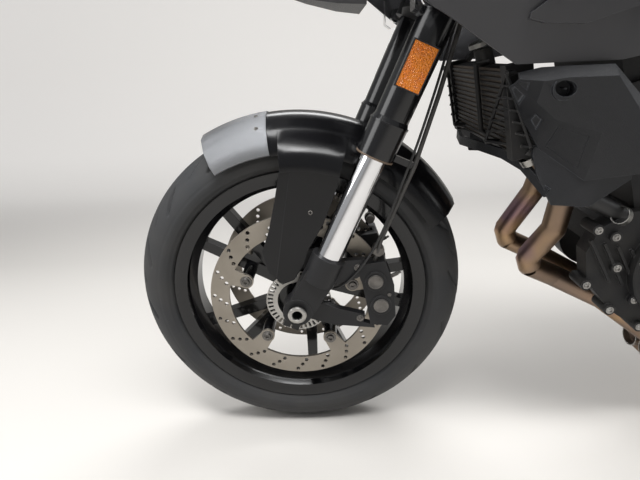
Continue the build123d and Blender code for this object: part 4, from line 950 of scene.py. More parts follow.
def ribbed(start, end, bore, radius, ribs, collar=0.0):
    """A rubber sleeve with ribs round it, and collars at its ends that stand proud."""
    length = (Vector(end) - Vector(start)).length
    profile = [(bore, 0), (radius + collar, 0), (radius + collar, 4)]
    for rib in range(ribs):
        at = 6 + rib * (length - 12) / ribs
        profile += [(radius - 0.9, at), (radius, at + 1), (radius, at + 3), (radius - 0.9, at + 4)]
    profile += [(radius + collar, length - 4), (radius + collar, length), (bore, length)]
    return lathe(profile, start, end, 32)


joined("handlebar", satin_black, 35)
joined("mirrors", black_plastic, 40)
joined("levers", lever_metal, 40)
joined("bar_controls", black_plastic, 35)
dress(mirror_glass, "mirror_glasses")
bar_along = (BAR_END - BAR_ROOT).normalized()
grips, buttons, red_buttons, pots, lids, lid_spots = [], [], [], [], [], []
for side in (1, -1):
    def bar_point(back, ahead=0.0, up=0.0, inward=0.0):
        """A point on this side, so far back from the bar's end, ahead of it and above it."""
        spot = BAR_END - bar_along * back
        return FORK @ Vector((spot.x + ahead, side * (spot.y - inward), spot.z + up))

    grips.append(ribbed(bar_point(0), bar_point(GRIP_LENGTH), 11.2, 16.5, 22, 2.5))
    for back, ahead, up, radius, kind in ((132, -12, 14, 6, buttons), (150, -14, 6, 5, buttons),
                                          (140, -14, -8, 7, buttons),
                                          (134, -6, 24, 6, buttons if side > 0 else red_buttons)):
        spot = bar_point(back, ahead, up)
        out = FORK_UP - FORK_AHEAD * (1.3 if up < 20 else 0)
        kind.append(spindle([(radius, -6), (radius, 4), (radius - 1, 5)], spot, spot + out, 20))
    base = bar_point(GRIP_LENGTH + 47, 34, 9, 16)
    pots.append(spindle([(15, 0), (17, 3), (17, 26)], base, base + FORK_UP, 32))
    lids.append(spindle([(19, 26), (19, 31), (17.5, 33)], base, base + FORK_UP, 32))
    lid_spots += [(*(base + FORK_UP * 33.5 + FORK_AHEAD * ahead), *FORK_UP) for ahead in (-11, 11)]
add_piece("ribbed_grips", grips, grip_rubber, "steering", 35, ["grips"])
add_piece("switch_buttons", buttons, grip_rubber, "steering", 35)
add_piece("stop_switch", red_buttons, red_plastic, "steering", 35)
add_piece("fluid_pots", pots, pot_plastic, "steering", 35)
add_piece("fluid_pot_lids", lids, black_plastic, "steering", 35)
bolts("fluid_pot_screws", "steering", SMALL, lid_spots, button_steel)

# The instrument: a glass-fronted colour display in a plastic case, tilted to the rider, here dark with faint
# bars.
DISPLAY = placed(-214, 0, 1058, -65)

screen_black = finish("display_glass", (0.004, 0.004, 0.006), (0.004, 0.004, 0.006), 0.05, 0.08, 200, 0.0,
                      specular_ior_level=0.6)
faint_bars = finish("unlit_display_bars", (0.05, 0.055, 0.06), (0.04, 0.045, 0.05), 0.1, 0.12, 200, 0.0)
joined("instrument_display", black_plastic, 30)
add_piece("display_glass", box(DISPLAY @ Matrix.Translation((2, 0, 7.3)), (80, 144, 1.4)), screen_black)
bar_places = [(22 + 4 * math.sin(index / 4), -52 + 8 * index, 12, 5.6) for index in range(14)]
bar_places += [(-8, -14, 24, 18), (-8, 14, 24, 18), (-26, -44, 4, 28), (-26, 0, 4, 28), (-26, 44, 4, 28)]
bars = [box(DISPLAY @ Matrix.Translation((up, y, 8)), (height, width, 0.5))
        for up, y, height, width in bar_places]
add_piece("display_bars", bars, faint_bars)

# Body panels: satin dark grey metallic above, black pebble-grained plastic below, held by small button
# screws. The pebble grain is coarse enough to sparkle along the deflector's lit top strip, and the plastic's
# bluish edge colour paints a highlight there.
grey_paint = finish("satin_grey_paint", (0.040, 0.040, 0.043), (0.046, 0.046, 0.049), 0.3, 0.4, 2600, 0.25,
                    6, 0.0008, metallic=0.35, edge=(0.10, 0.10, 0.105), edge_radius=0.001,
                    specular_ior_level=0.35)
pebble_plastic = finish("pebble_grained_plastic", (0.0055, 0.006, 0.0075), (0.009, 0.0095, 0.012), 0.42,
                        0.56, 1100, 0.8, 9, 0.0010, edge=(0.07, 0.075, 0.085), edge_radius=0.001,
                        specular_ior_level=0.4)
for panel in ("side_fairings", "nose_cowl", "tail_cowl"):
    joined(panel, grey_paint, 28)


def skin(stations, thickness):
    """A folded side panel: each station is x and its (y, z) points from the bottom edge to the top."""
    rings = [[(x, y, z) for y, z in outer] + [(x, y - thickness, z) for y, z in reversed(outer)]
             for x, outer in stations]
    return merged("skin", lofted(rings))


def run_of_boxes(path, depth, height):
    """A bar of oblong section along straight lengths, its section upright and square to it."""
    rings = []
    path = [Vector(point) for point in path]
    for index, spot in enumerate(path):
        along = (path[min(index + 1, len(path) - 1)] - path[max(index - 1, 0)]).normalized()
        side = Vector((0, 0, 1)).cross(along).normalized()
        rise = along.cross(side)
        rings.append([spot + side * sx * depth / 2 + rise * sz * height / 2
                      for sx, sz in ((-1, -1), (1, -1), (1, 1), (-1, 1))])
    return lofted(rings)


# The upper panel has a raised field whose lower edge stands off as a ledge, seven millimetres proud.
# columns: x, the ledge's height, the field's waist and its upper edge
FIELD = [(-288, 738, 741, 744), (-306, 733, 745, 758), (-348, 731, 765, 802), (-400, 748, 775, 838),
         (-480, 782, 800, 850), (-548, 812, 822, 842)]
field_rows = []
for x, *heights in FIELD:
    faces_at = seen_spots("side_fairings", [(x, 0, z) for z in heights])
    field_rows.append((x, [(spot[1] + 7, spot[2]) for spot in faces_at]))
add_piece("raised_fairing_fields", both(skin(field_rows, 10)), grey_paint, "frame", 22)

# The lower panel is a folded skin with a bevelled upper edge, a boss with its oval recess, and the gusset
# below. A lip under the radiator joins the two sides.
# stations: x, then (y, z) at the lower edge, the fold, the bevel's lower and upper edge
DEFLECTOR = [(-296, [(172, 662), (190, 667), (203, 673), (198, 680)]),
             (-318, [(173, 620), (208, 645), (222, 671), (212, 686)]),
             (-341, [(177, 583), (216, 625), (232, 675), (221, 687)]),
             (-390, [(214, 546), (234, 610), (246, 676), (234, 688)]),
             (-420, [(226, 553), (240, 600), (246, 640), (240, 656)]),
             (-446, [(236, 559), (241, 573), (243, 585), (240, 594)])]
GUSSET = [(-338, [(170, 572), (171, 584)]), (-345, [(181, 543), (177, 585)]),
          (-360, [(199, 509), (189, 573)]), (-409, [(202, 506), (218, 556)]),
          (-440, [(228, 550), (230, 564)])]
CHIN = [(-356, 192, 524), (-340, 142, 551), (-322, 108, 562), (-298, 60, 567), (-288, 0, 565)]

recess = bar_across(1, 0, 40, 0, 0, 40)
recess.transform(placed(-341, 214, 662, -20) @ Matrix.Diagonal((12, 1, 9, 1)))
boss = bar_across(14, 158, 226, -341, 662, 40)
panels = [both(cut(skin(DEFLECTOR, 5), recess.copy())), both(skin(GUSSET, 5)), both(cut(boss, recess))]
panels.append(run_of_boxes(CHIN + [(x, -y, z) for x, y, z in reversed(CHIN[:-1])], 6, 14))
add_piece("folded_deflectors", panels, pebble_plastic, "frame", 22, ["side_deflectors"])
fairing_spots = seen_spots("side_fairings", [(-150, 0, 930), (-330, 0, 970), (-640, 0, 800), (-700, 0, 880)])
fairing_spots += seen_spots("tail_cowl", [(-960, 0, 742), (-1320, 0, 790), (-1560, 0, 838)])
bolts("panel_screws", "frame", SMALL, both_sides(fairing_spots), button_steel)

# The headlamps: clear lenses over black bezels, each with two reflector bowls and a pale light guide above
# them. The front indicators are clear too, the rear ones amber on black stalks, and the tail lamp is a red
# lens.
lamp_glass = finish("clear_lens", (0.97, 0.97, 0.97), (0.94, 0.94, 0.94), 0.02, 0.04, 200, 0.0,
                    transmission_weight=1.0, ior=1.12)
bowl_metal = finish("lamp_reflector", (0.80, 0.80, 0.81), (0.7, 0.7, 0.71), 0.06, 0.12, 300, 0.02,
                    metallic=1)
light_guide = finish("pale_light_guide", (0.72, 0.72, 0.70), (0.66, 0.66, 0.64), 0.2, 0.3, 600, 0.1)
amber_lens = finish("amber_lens", (0.55, 0.14, 0.008), (0.42, 0.09, 0.004), 0.12, 0.22, 400, 0.4, 40)
red_lens = finish("red_lens", (0.30, 0.005, 0.005), (0.20, 0.004, 0.004), 0.08, 0.16, 260, 0.4, 40)
dress(lamp_glass, "headlamps")
bowls, guides, bezels = [], [], []
for side in (1, -1):
    for y, z, radius in ((56, 871, 13), (94, 885, 11)):
        spot = Vector((-62, side * y, z))
        bowls.append(lathe([(3, 1), (radius - 1, 9), (radius, 9), (radius, 0), (3, 0)], spot,
                           spot + Vector((1, 0, 0)), 32))
        bowls.append(lathe([(AXIS_R, 0), (3, 0), (3, 5), (AXIS_R, 6)], spot, spot + Vector((1, 0, 0)), 16))
        bezels.append(lathe([(radius, 0), (radius + 3, 0), (radius + 3, 7), (radius, 9)], spot,
                            spot + Vector((1, 0, 0)), 32))
    guides.append(tube([(-56, side * y, z) for y, z in ((28, 865), (62, 886), (116, 900))], 2.2, 8))
add_piece("headlamp_bowls", bowls, bowl_metal, "frame", 40)
add_piece("headlamp_bezels", bezels, black_plastic, "frame", 40)
add_piece("headlamp_light_guides", guides, light_guide, "frame", 50)
GEM = [(-168, 800), (-170, 757), (-180, 750), (-191, 754), (-217, 767), (-240, 800)]
stalks = [rod(6, 26, 100, (-1770, 0, 650), (-1770, side, 650), 20) for side in (1, -1)]
backs = [box(placed(-1766, side * 118, 652), (10, 42, 26)) for side in (1, -1)]
rear_lenses = [box(placed(-1778, side * 118, 652), (14, 40, 24)) for side in (1, -1)]
add_piece("indicator_stalks", merged("stalks", *stalks, *backs), black_plastic, "frame", 35, ["indicators"])
add_piece("rear_indicator_lenses", rear_lenses, amber_lens)
add_piece("front_indicator_lenses", both(plate(GEM, 136, 172)), lamp_glass)
gem_bowls = [lathe([(2, 0), (11, 8), (12, 8), (12, -1), (2, -1)], (-192, side * 150, 772),
                   (-192, side * 158, 772), 24)
             for side in (1, -1)]
add_piece("indicator_bowls", gem_bowls, bowl_metal, "frame", 40)
joined("tail_lamp", red_lens, 35)

# The windscreen: smoked clear plastic, held by four rubber-faced screws.
screen_plastic = finish("smoked_screen_plastic", (0.34, 0.35, 0.37), (0.30, 0.31, 0.33), 0.03, 0.06, 200,
                        0.0, transmission_weight=0.9, ior=1.2)
dress(screen_plastic, "windscreen")
screen_spots = seen_spots("windscreen", [(0, y, z) for y in (-84, 84) for z in (1000, 1075)], (1, 0, 0))
bolts("windscreen_screws", "frame", BUTTON, screen_spots, black_plastic)

# The radiator: rows of flat tubes with folded brownish fins between them, black end tanks and slatted guards
# whose edges are painted bright, as wear and painted highlight. A thin pipe and a filler neck with its cap
# stand ahead of it.
CORE = placed(-322, 0, 628, 11)
CORE_W, CORE_H, CORE_ROWS, GUARD_SLATS = 276.0, 116.0, 15, 5

radiator_black = finish("radiator_black_paint", (0.008, 0.008, 0.009), (0.014, 0.013, 0.012), 0.4, 0.55,
                        1200, 0.3, 20, edge=(0.11, 0.105, 0.10), edge_radius=0.0008, specular_ior_level=0.3)
fin_metal = finish("folded_fin_metal", (0.085, 0.065, 0.048), (0.055, 0.043, 0.034), 0.4, 0.6, 900, 0.3, 14,
                   metallic=0.7)
fin_tree, fin_nodes, fin_place = placed_by(fin_metal)
fin_wave = new_node(fin_tree, "ShaderNodeTexWave", {"Scale": 120.0, "Vector": fin_place},
                    bands_direction="Y")
for label, value in (("Height", fin_wave.outputs["Fac"]), ("Strength", 0.9), ("Distance", 0.0015)):
    feed(fin_tree, fin_nodes["Bump"].inputs[label], value)
row_pitch = CORE_H / CORE_ROWS
fins = [box(CORE @ Matrix.Translation((11.4, 0, -CORE_H / 2 + (row + 0.75) * row_pitch)),
            (1, CORE_W - 1, row_pitch / 2))
        for row in range(CORE_ROWS)]
add_piece("radiator_fins", fins, fin_metal)
comb = [(-14, -CORE_H / 2)]
for row in range(CORE_ROWS):
    low = -CORE_H / 2 + row * row_pitch
    comb += [(14, low), (14, low + row_pitch / 2), (10, low + row_pitch / 2), (10, low + row_pitch)]
core = plate(comb + [(-14, CORE_H / 2)], -CORE_W / 2, CORE_W / 2)
core.transform(CORE)
cooler = [core]
for side in (1, -1):
    apex = Vector((-294, side * 160, 678))
    inner, outer = Vector((-298, side * 92, 579)), Vector((-334, side * 172, 583))
    cooler.append(box(CORE @ Matrix.Translation((0, side * 148, 0)), (36, 20, 128)))
    for start, end, radius in ((Vector((-322, side * 146, 684)), Vector((-412, side * 85, 808)), 6),
                               (apex, inner, 2.5),
                               (apex, outer, 2.5), (inner, outer, 2.5),
                               (apex, Vector((-318, side * 150, 680)), 4),
                               (inner, Vector((-334, side * 92, 577)), 4)):
        cooler.append(swept([start, end], radius, 12))
    for slat in range(1, GUARD_SLATS + 1):
        share = slat / (GUARD_SLATS + 1)
        start, end = apex.lerp(inner, share), apex.lerp(outer, share)
        cooler.append(run_of_boxes([start, (start + end) / 2 + Vector((3, 0, 5)) * share, end], 9, 2.5))
cooler.append(swept(bent_line([(-312, 30, 690), (-283, 30, 697), (-304, 30, 580), (-326, 30, 574)], 8), 4,
                    14))
cooler.append(rod(14, 0, 32, (-314, 18, 680), (-304, 18, 710), 28))
add_piece("finned_radiator", cooler, radiator_black, "frame", 30, ["radiator"])
coolant = bent_line([(-336, 148, 578), (-372, 150, 528), (-462, 146, 484), (-545, 108, 448)], 30)
add_piece("coolant_hose", swept(coolant, 13, 24), cable_rubber, "frame", 50)
neck = Vector((-302, 18, 714))
add_piece("radiator_cap", spindle([(19, 0), (19, 6), (15, 9)], neck, neck + Vector((3, 0, 8)), 14),
          bright_steel, "frame", 25)
clips = []
for spot, along in (((-345, 148, 562), (-36, 2, -50)), ((-418, 148, 506), (-90, -4, -44)),
                    ((-505, 126, 466), (-83, -38, -36))):
    clips.append(lathe([(13.1, -5), (14.4, -5), (14.4, 5), (13.1, 5)], spot, Vector(spot) + Vector(along),
                       28))
add_piece("coolant_hose_clips", clips, bright_steel)

# The exhaust: bronze-tinted headers flanged to the cylinder head, slip joints with their clamps ahead of the
# collector, and a satin steel silencer with a black end cap, an outlet pipe and a strap to the footrest's
# arm.
header_steel = finish("heat_tinted_steel", (0.30, 0.225, 0.165), (0.20, 0.15, 0.12), 0.34, 0.5, 700, 0.12, 6,
                      metallic=1)
tint_tree, tint_nodes, tint_place = placed_by(header_steel)
tint = new_node(tint_tree, "ShaderNodeTexNoise", {"Scale": 9.0, "Vector": tint_place})
tint_ramp = new_node(tint_tree, "ShaderNodeValToRGB", {"Fac": tint.outputs["Fac"]})
tints = tint_ramp.color_ramp.elements
tints[0].position, tints[0].color = 0.38, (0.30, 0.21, 0.15, 1)
tints[1].position, tints[1].color = 0.66, (0.24, 0.15, 0.17, 1)
tints.new(0.52).color = (0.38, 0.25, 0.14, 1)
feed(tint_tree, tint_nodes["Group"].inputs["Colour"], tint_ramp.outputs["Color"])
silencer_steel = finish("satin_silencer_steel", (0.40, 0.39, 0.37), (0.33, 0.32, 0.30), 0.3, 0.42, 1500,
                        0.12, 9, metallic=1, edge=(0.5, 0.49, 0.47))
soot_and_painted_shade = finish("soot_and_painted_shade", (0.006, 0.006, 0.006), (0.010, 0.009, 0.008), 0.8, 0.9, 900, 0.4)
NEAR_HEADER = [(-500, 60, 599), (-440, 60, 584), (-470, 60, 474), (-462, 60, 410), (-394, 60, 344),
               (-396, 7, 341), (-480, 7, 335), (-590, 20, 280), (-660, 26, 162), (-705, 26, 148)]
FAR_HEADER = [(-500, -50, 599), (-440, -50, 584), (-472, -50, 452), (-392, -50, 357), (-394, -103, 351),
              (-464, -103, 338), (-560, -50, 300), (-655, -28, 166), (-705, -28, 148)]
# columns: x, then height and half width at the bottom, waist and shoulder, and the crown's height
COLLECTOR = [(-690, 118, 40, 148, 66, 166, 50, 176), (-740, 112, 60, 146, 84, 168, 66, 182),
             (-900, 118, 60, 150, 84, 172, 66, 186), (-950, 124, 30, 150, 50, 168, 40, 176)]

rings = []
for x, z_low, w_low, z_waist, w_waist, z_high, w_high, z_top in COLLECTOR:
    half = [(w_low, z_low), (w_waist, z_waist), (w_high, z_high),
            (w_high * 0.55, z_high + (z_top - z_high) * 0.75)]
    rings.append([(x, y, z) for y, z in half] + [(x, 0, z_top)] + [(x, -y, z) for y, z in reversed(half)])
collector = lofted(rings)
pipes = [swept(bent_line(route, 26), 20, 32) for route in (NEAR_HEADER, FAR_HEADER)]
pipes.append(swept(bent_line([(-930, -30, 150), (-1000, -110, 190), (-1080, -182, 268), (-1150, -196, 310)],
                             60), 24, 32))
add_piece("bent_exhaust_pipes", merged("pipes", *pipes, collector), header_steel, "frame", 45,
          ["exhaust_pipes"])
joined("silencer", silencer_steel, 40)
flange_rings, stud_spots, clamps = [], [], []
for y, lower in ((60, 584), (-50, 584)):
    port, away = Vector((-492, y, 597)), Vector((60, 0, lower - 599)).normalized()
    flange_rings.append(lathe([(20.3, 0), (31, 0), (31, 9), (20.3, 9)], port, port + away, 40))
    stud_spots += [(*(port + away * 9.5 + Vector((0, offset, 0))), *away) for offset in (-25, 25)]
    clamps.append(lathe([(20.2, -7), (22, -7), (22, 7), (20.2, 7)], (-682, 26 if y > 0 else -28, 148),
                        (-690, 26 if y > 0 else -28, 148), 40))
add_piece("header_flanges", flange_rings, button_steel, "frame", 35)
bolts("header_studs", "frame", BUTTON, stud_spots, button_steel)
link_ring = lathe([(24.2, -8), (26.4, -8), (26.4, 8), (24.2, 8)], (-1040, -146, 228), (-1080, -182, 268), 40)
add_piece("exhaust_clamps", merged("clamps", *clamps, link_ring), bright_steel, "frame", 35)
CAN_HALVES = (64, 48.2)
can_foot, can_end = Vector((-1140, -196, 306)), Vector((-1490, -212, 438))
can_along = (can_end - can_foot).normalized()
end_cap = spindle([(30, -1), (34, 3), (32, 9), (16.5, 12), (16.5, 4)], can_end, can_end + can_along, 40)
outlet = lathe([(14.5, 2), (16.5, 2), (16.5, 26), (14.5, 26)], can_end, can_end + can_along, 40)
# A black disc just inside the outlet: soot, and painted shade for the pipe's depth.
inside = rod(14.4, 5, 6, can_end, can_end + can_along, 24)
add_piece("silencer_end_cap", end_cap, satin_black, "frame", 35)
add_piece("silencer_outlet", outlet, silencer_steel, "frame", 35)
add_piece("silencer_inside", inside, soot_and_painted_shade, "frame", 35)
strap_turn = Vector((0, 0, 1)).rotation_difference(can_along).to_matrix().to_4x4()
strap = lathe([(1.012, -13), (1.045, -13), (1.045, 13), (1.012, 13)], (0, 0, 0), (0, 0, 1), 56)
strap_at = Matrix.Translation(can_foot + can_along * 200)
strap.transform(strap_at @ strap_turn @ Matrix.Diagonal((*CAN_HALVES, 1, 1)))
add_piece("silencer_strap", strap, satin_black, "frame", 35)

# The engine: rough cast cases painted matt black, bolted round their edges with bright steel button heads.
# A filler cap and a timing plug stand on the covers, and the cam cover is bolted down on the head.
CASE_SIDE = 92.0
FLANK_BOSSES = [(-472, 444), (-470, 350), (-516, 303), (-571, 270), (-501, 432), (-513, 379), (-552, 321),
                (-690, 262)]
# columns: x, z, side, reach from the case, radius of the bolt circle, bolts
COVERS = [(-622, 376, 1, 52, 80, 7), (-740, 350, -1, 54, 104, 9), (-600, 352, -1, 44, 62, 6)]
CYLINDERS = placed(-600, 0, 495, 18)
CASE = [(-494, 400), (-500, 440), (-530, 470), (-660, 515), (-850, 500), (-905, 470), (-912, 372),
        (-880, 260), (-820, 216), (-760, 214), (-700, 240), (-560, 368)]
FLANK = [(-464, 404), (-474, 352), (-520, 300), (-536, 288), (-572, 266), (-604, 266), (-700, 246),
         (-720, 400), (-660, 480), (-520, 470), (-478, 444)]
# columns: x, z, side, then radius and reach of each step
STEPPED = [(-622, 376, 1, ((88, 52), (66, 60), (30, 64))), (-740, 350, -1, ((112, 54), (86, 64), (40, 68))),
           (-600, 352, -1, ((70, 44), (48, 50)))]

engine_black = finish("cast_engine_black", (0.010, 0.010, 0.011), (0.020, 0.019, 0.018), 0.48, 0.66, 700,
                      0.8, 22, edge=(0.05, 0.05, 0.05), edge_radius=0.0012, specular_ior_level=0.3)
engine_bolt = finish("zinc_bolt_steel", (0.40, 0.39, 0.37), (0.26, 0.25, 0.24), 0.3, 0.45, 1200, 0.2, 60,
                     metallic=1)
joined("engine_cylinders", engine_black, 30)
add_piece("shaped_crankcase", plate(CASE, -CASE_SIDE, CASE_SIDE), engine_black, "frame", 30,
          ["engine_crankcase"])
covers = [plate(FLANK, CASE_SIDE, CASE_SIDE + 32)]
covers += [bar_across(9, CASE_SIDE, CASE_SIDE + 40, x, z, 20) for x, z in FLANK_BOSSES]
for rib in range(6):
    covers.append(box(placed(-486 - 22 * rib, CASE_SIDE + 34, 390 - 6 * rib, 30), (4, 8, 84)))
for x, z, side, steps in STEPPED:
    outline = [(AXIS_R, 0)]
    for (radius, reach), (after, _) in zip(steps, steps[1:] + ((AXIS_R, 0),)):
        if outline[-1][0] != radius:
            outline.append((radius, outline[-1][1]))
        outline += [(radius, reach - 3), (radius - 3, reach), (after, reach)]
    covers.append(lathe(outline, (x, side * CASE_SIDE, z), (x, side * (CASE_SIDE + 1), z), 64))
add_piece("stepped_engine_covers", covers, engine_black, "frame", 30, ["engine_covers"])
engine_spots = [(x, CASE_SIDE + 40, z, 0, 1, 0) for x, z in FLANK_BOSSES]
for x, z, side, reach, radius, count in COVERS:
    for dx, dz in on_circle(radius, count, 12):
        if radius > 62 or x + dx > -624:
            engine_spots.append((x + dx, side * (CASE_SIDE + reach), z + dz, 0, side, 0))
for side in (1, -1):
    for ahead, up in ((-60, 112), (60, 112), (-60, 176), (60, 176), (0, 112)):
        engine_spots.append((*(CYLINDERS @ Vector((ahead, side * 116, up))), 0, side, 0))
    for ahead in (-50, 50):
        engine_spots.append((*(CYLINDERS @ Vector((ahead, side * 92, 224))),
                             *(CYLINDERS.to_3x3() @ Vector((0, 0, 1)))))
bolts("engine_bolts", "frame", BUTTON, engine_spots, engine_bolt)
plugs = [spindle([(12, 0), (12, 4), (9, 6)], (-622, 155, 376), (-622, 156, 376), 6),
         spindle([(15, 0), (15, 12), (12, 15)], (-690, -145, 420), (-690, -146, 420), 12),
         rod(9, 0, 5, (-790, 60, 214), (-790, 60, 213), 6)]
add_piece("engine_plugs", plugs, satin_black)
boots = [lathe([(24, 0), (26, 0), (26, 6), (22, 9), (22, 40), (26, 43), (26, 60), (24, 60)],
               CYLINDERS @ Vector((-76, y, 150)), CYLINDERS @ Vector((-136, y, 176)), 28) for y in (-52, 52)]
add_piece("intake_boots", boots, cable_rubber, "frame", 40)

# The tank: a pressed steel shell in the panels' grey with rubber knee pads, and a locking cap in its bolted
# ring. The ring's six screw holes stay open, since a tank bag's ring takes their screws.
joined("fuel_tank", grey_paint, 32)


def draped(name, node, centre, half_length, half_height, slant, lift, material, body, cells=14):
    """An oval patch, its centre seen from the left, that follows a CAD node's surface and stands off it."""
    places = []
    for row in range(cells + 1):
        for column in range(cells + 1):
            u, v = 2 * column / cells - 1, 2 * row / cells - 1
            along, up = u * math.sqrt(1 - v * v / 2), v * math.sqrt(1 - u * u / 2)
            places.append((centre[0] + along * half_length, 0, centre[1] + up * half_height + along * slant))
    spots = [(Vector(spot[:3]), Vector(spot[3:])) for spot in seen_spots(node, places)]
    size = len(spots)
    points = [spot + face * lift for spot, face in spots] + [spot - face for spot, face in spots]
    across = cells + 1
    faces, rim = [], []
    for row in range(cells):
        for column in range(cells):
            a = row * across + column
            faces += [(a, a + 1, a + across + 1, a + across)]
            faces += [(size + a, size + a + across, size + a + across + 1, size + a + 1)]
    rim += list(range(cells)) + [cells + across * row for row in range(cells)]
    rim += [across * cells + column for column in range(cells, 0, -1)] + [across * row
                                                                          for row in range(cells, 0, -1)]
    for here, after in zip(rim, rim[1:] + rim[:1]):
        faces.append((here, size + here, size + after, after))
    left = mesh_from(name, points, faces)
    right = mesh_from(name, [(x, -y, z) for x, y, z in points], [face[::-1] for face in faces])
    return add_piece(name, merged(name, left, right), material, body, 40)


draped("knee_pads", "fuel_tank", (-752, 852), 52, 30, 10, 2.0, grip_rubber, "frame")
joined("fuel_cap", satin_black, 30)
lock = spindle([(9, 0), (9, 1.6), (7.5, 2.4)], (-548, 0, 1011), (-548, 0, 1012), 28)
add_piece("fuel_cap_lock", lock, bright_steel, "fuel_cap")
# The keyhole is a thin black plate on the lock: painted shade for the slot's depth.
add_piece("fuel_cap_keyhole", box(placed(-548, 0, 1013.4), (1.6, 7, 0.6)), soot_and_painted_shade, "fuel_cap")

# The seats: foam under grained vinyl, drawn over the base and sewn along its edges. The foam is swelled by a
# cloth simulation from a slightly smaller form, and then rests inside its own base's shape.
SEAT_VOXEL = 0.006
SEAT_SHRINK = 0.965
SEAT_CAP = 0.010
SEAT_PRESSURE = 4.0

seat_vinyl = finish("grained_seat_vinyl", (0.012, 0.012, 0.013), (0.018, 0.018, 0.019), 0.45, 0.6, 1100, 0.9,
                    12, 0.0008, specular_ior_level=0.35)
thread = finish("seat_piping", (0.028, 0.028, 0.029), (0.04, 0.04, 0.041), 0.45, 0.55, 1600, 0.4)


def stuffed(name, material):
    """A seat node's form remeshed, blown up as cloth and smoothed."""
    mesh = closed_copy(name)
    mesh.transform(Matrix.Scale(MM, 4))
    low = Vector([min(v.co[axis] for v in mesh.vertices) for axis in range(3)])
    high = Vector([max(v.co[axis] for v in mesh.vertices) for axis in range(3)])
    middle = (low + high) / 2
    mesh.transform(Matrix.Translation(middle) @ Matrix.Scale(SEAT_SHRINK, 4) @ Matrix.Translation(-middle))
    pad = in_scene("stuffed_" + name, mesh)
    remesh = pad.modifiers.new("remesh", "REMESH")
    remesh.mode = "VOXEL"
    remesh.voxel_size = SEAT_VOXEL
    made = evaluated_mesh(pad)
    pad.modifiers.remove(remesh)
    pad.data = made
    start = np.array([v.co[:] for v in made.vertices])
    cloth = pad.modifiers.new("cloth", "CLOTH")
    cloth.settings.use_pressure = True
    cloth.settings.uniform_pressure_force = SEAT_PRESSURE
    cloth.settings.effector_weights.gravity = 0.0
    for step in range(1, 21):
        bpy.context.scene.frame_set(step)
    swelled = evaluated_mesh(pad)
    pad.modifiers.remove(cloth)
    bpy.context.scene.frame_set(1)
    end = np.array([v.co[:] for v in swelled.vertices])
    moved = end - start
    reach = np.linalg.norm(moved, axis=1, keepdims=True)
    end = start + moved * np.minimum(1, SEAT_CAP / np.maximum(reach, 1e-9))
    swelled.vertices.foreach_set("co", end.ravel())
    pad.data = swelled
    rounds = pad.modifiers.new("rounds", "SUBSURF")
    rounds.levels = 1
    final = evaluated_mesh(pad)
    bpy.data.objects.remove(pad)
    final.transform(Matrix.Scale(1 / MM, 4))
    piece = add_piece("stuffed_" + name, final, material, body_of[name], 180, [name])
    return piece


stuffed("rider_seat", seat_vinyl)
stuffed("pillion_seat", seat_vinyl)
piping = []
for node, rows in (("rider_seat", [(-850, 84), (-930, 116), (-1000, 126), (-1060, 132), (-1120, 122)]),
                   ("pillion_seat", [(-1165, 104), (-1220, 106), (-1300, 102), (-1400, 86), (-1465, 74)])):
    for side in (1, -1):
        spots = seen_spots(node, [(x, side * y, 0) for x, y in rows], (0, 0, 1))
        piping.append(tube([(x, y, z - 1.2) for x, y, z, *_ in spots], 1.6, 8))
add_piece("seat_piping", piping, thread, "frame", 60)

# The main frame is welded steel in satin black, and the tubes of the rear frame carry the seats and grab
# rails. The number plate is left blank.
for frame_node in ("main_frame", "rear_subframe", "grab_rails", "swingarm", "footrests", "pillion_footrests",
                   "foot_controls", "side_stand", "side_stand_bracket"):
    joined(frame_node, satin_black, 35)
joined("plate_carrier", black_plastic, 35)
plate_white = finish("blank_plate", (0.62, 0.62, 0.60), (0.55, 0.55, 0.53), 0.3, 0.4, 900, 0.1)
PLATE = placed(-1822, 0, 548, 22)
add_piece("blank_plate", box(PLATE @ Matrix.Translation((-3.8, 0, 0)), (1.6, 180, 132)), plate_white)
plate_lamp = box(PLATE @ Matrix.Translation((-12, 0, 84)), (26, 44, 12))
add_piece("plate_lamp", plate_lamp, black_plastic)
frame_spots = seen_spots("main_frame", [(-560, 0, 745), (-570, 0, 675), (-866, 0, 486), (-884, 0, 338),
                                        (-862, 0, 636)])
frame_spots += seen_spots("footrests", [(-944, 0, 386), (-902, 0, 400), (-918, 0, 330)])
frame_spots += seen_spots("pillion_footrests", [(-1084, 0, 672), (-1180, 0, 500)])
bolts("frame_bolts", "frame", LARGE, both_sides(frame_spots), button_steel)

# The swingarm's ends hold the rear axle between chain adjusters, with a flanged nut on its left end.
# Both wheels' axles are hollow.
ADJUSTER_X = -1582.0

nut_rings, adjusters, adjuster_spots = [], [], []
for side in (1, -1):
    nut_rings.append(lathe([(12.6, 150), (22, 150), (22, 152.5), (12.6, 152.5)], (-WHEELBASE, 0, REAR_Z),
                           (-WHEELBASE, side, REAR_Z), 40))
    nut_rings.append(lathe([(12.6, 152.5), (20, 152.5), (20, 165), (18, 167), (12.6, 167)],
                           (-WHEELBASE, 0, REAR_Z), (-WHEELBASE, side, REAR_Z), 6))
    adjusters.append(box(placed(ADJUSTER_X - 2, side * 137, REAR_Z + 4), (8, 30, 44)))
    adjuster_spots.append((ADJUSTER_X - 6, side * 137, REAR_Z + 4, -1, 0, 0))
dress(bright_steel, "rear_axle_and_pivot_shaft")
add_piece("rear_axle_nuts", nut_rings, bright_steel)
add_piece("chain_adjusters", adjusters, button_steel)
bolts("chain_adjuster_bolts", "frame", LARGE, adjuster_spots, button_steel)
joined("rear_hugger", black_plastic, 40)

# The drive chain: rollers on pins between inner and outer waisted plates, and toothed sprockets that they
# lie in. A pattern of each kind of link is set on the middles of its places along the pitch line.
CHAIN_Y, CHAIN_LINKS = 106.0, 110
FRONT_SPROCKET_AT, FRONT_PITCH_R = (-890.0, 425.0), 47.5
REAR_PITCH_R, REAR_TEETH = 114.5, 44

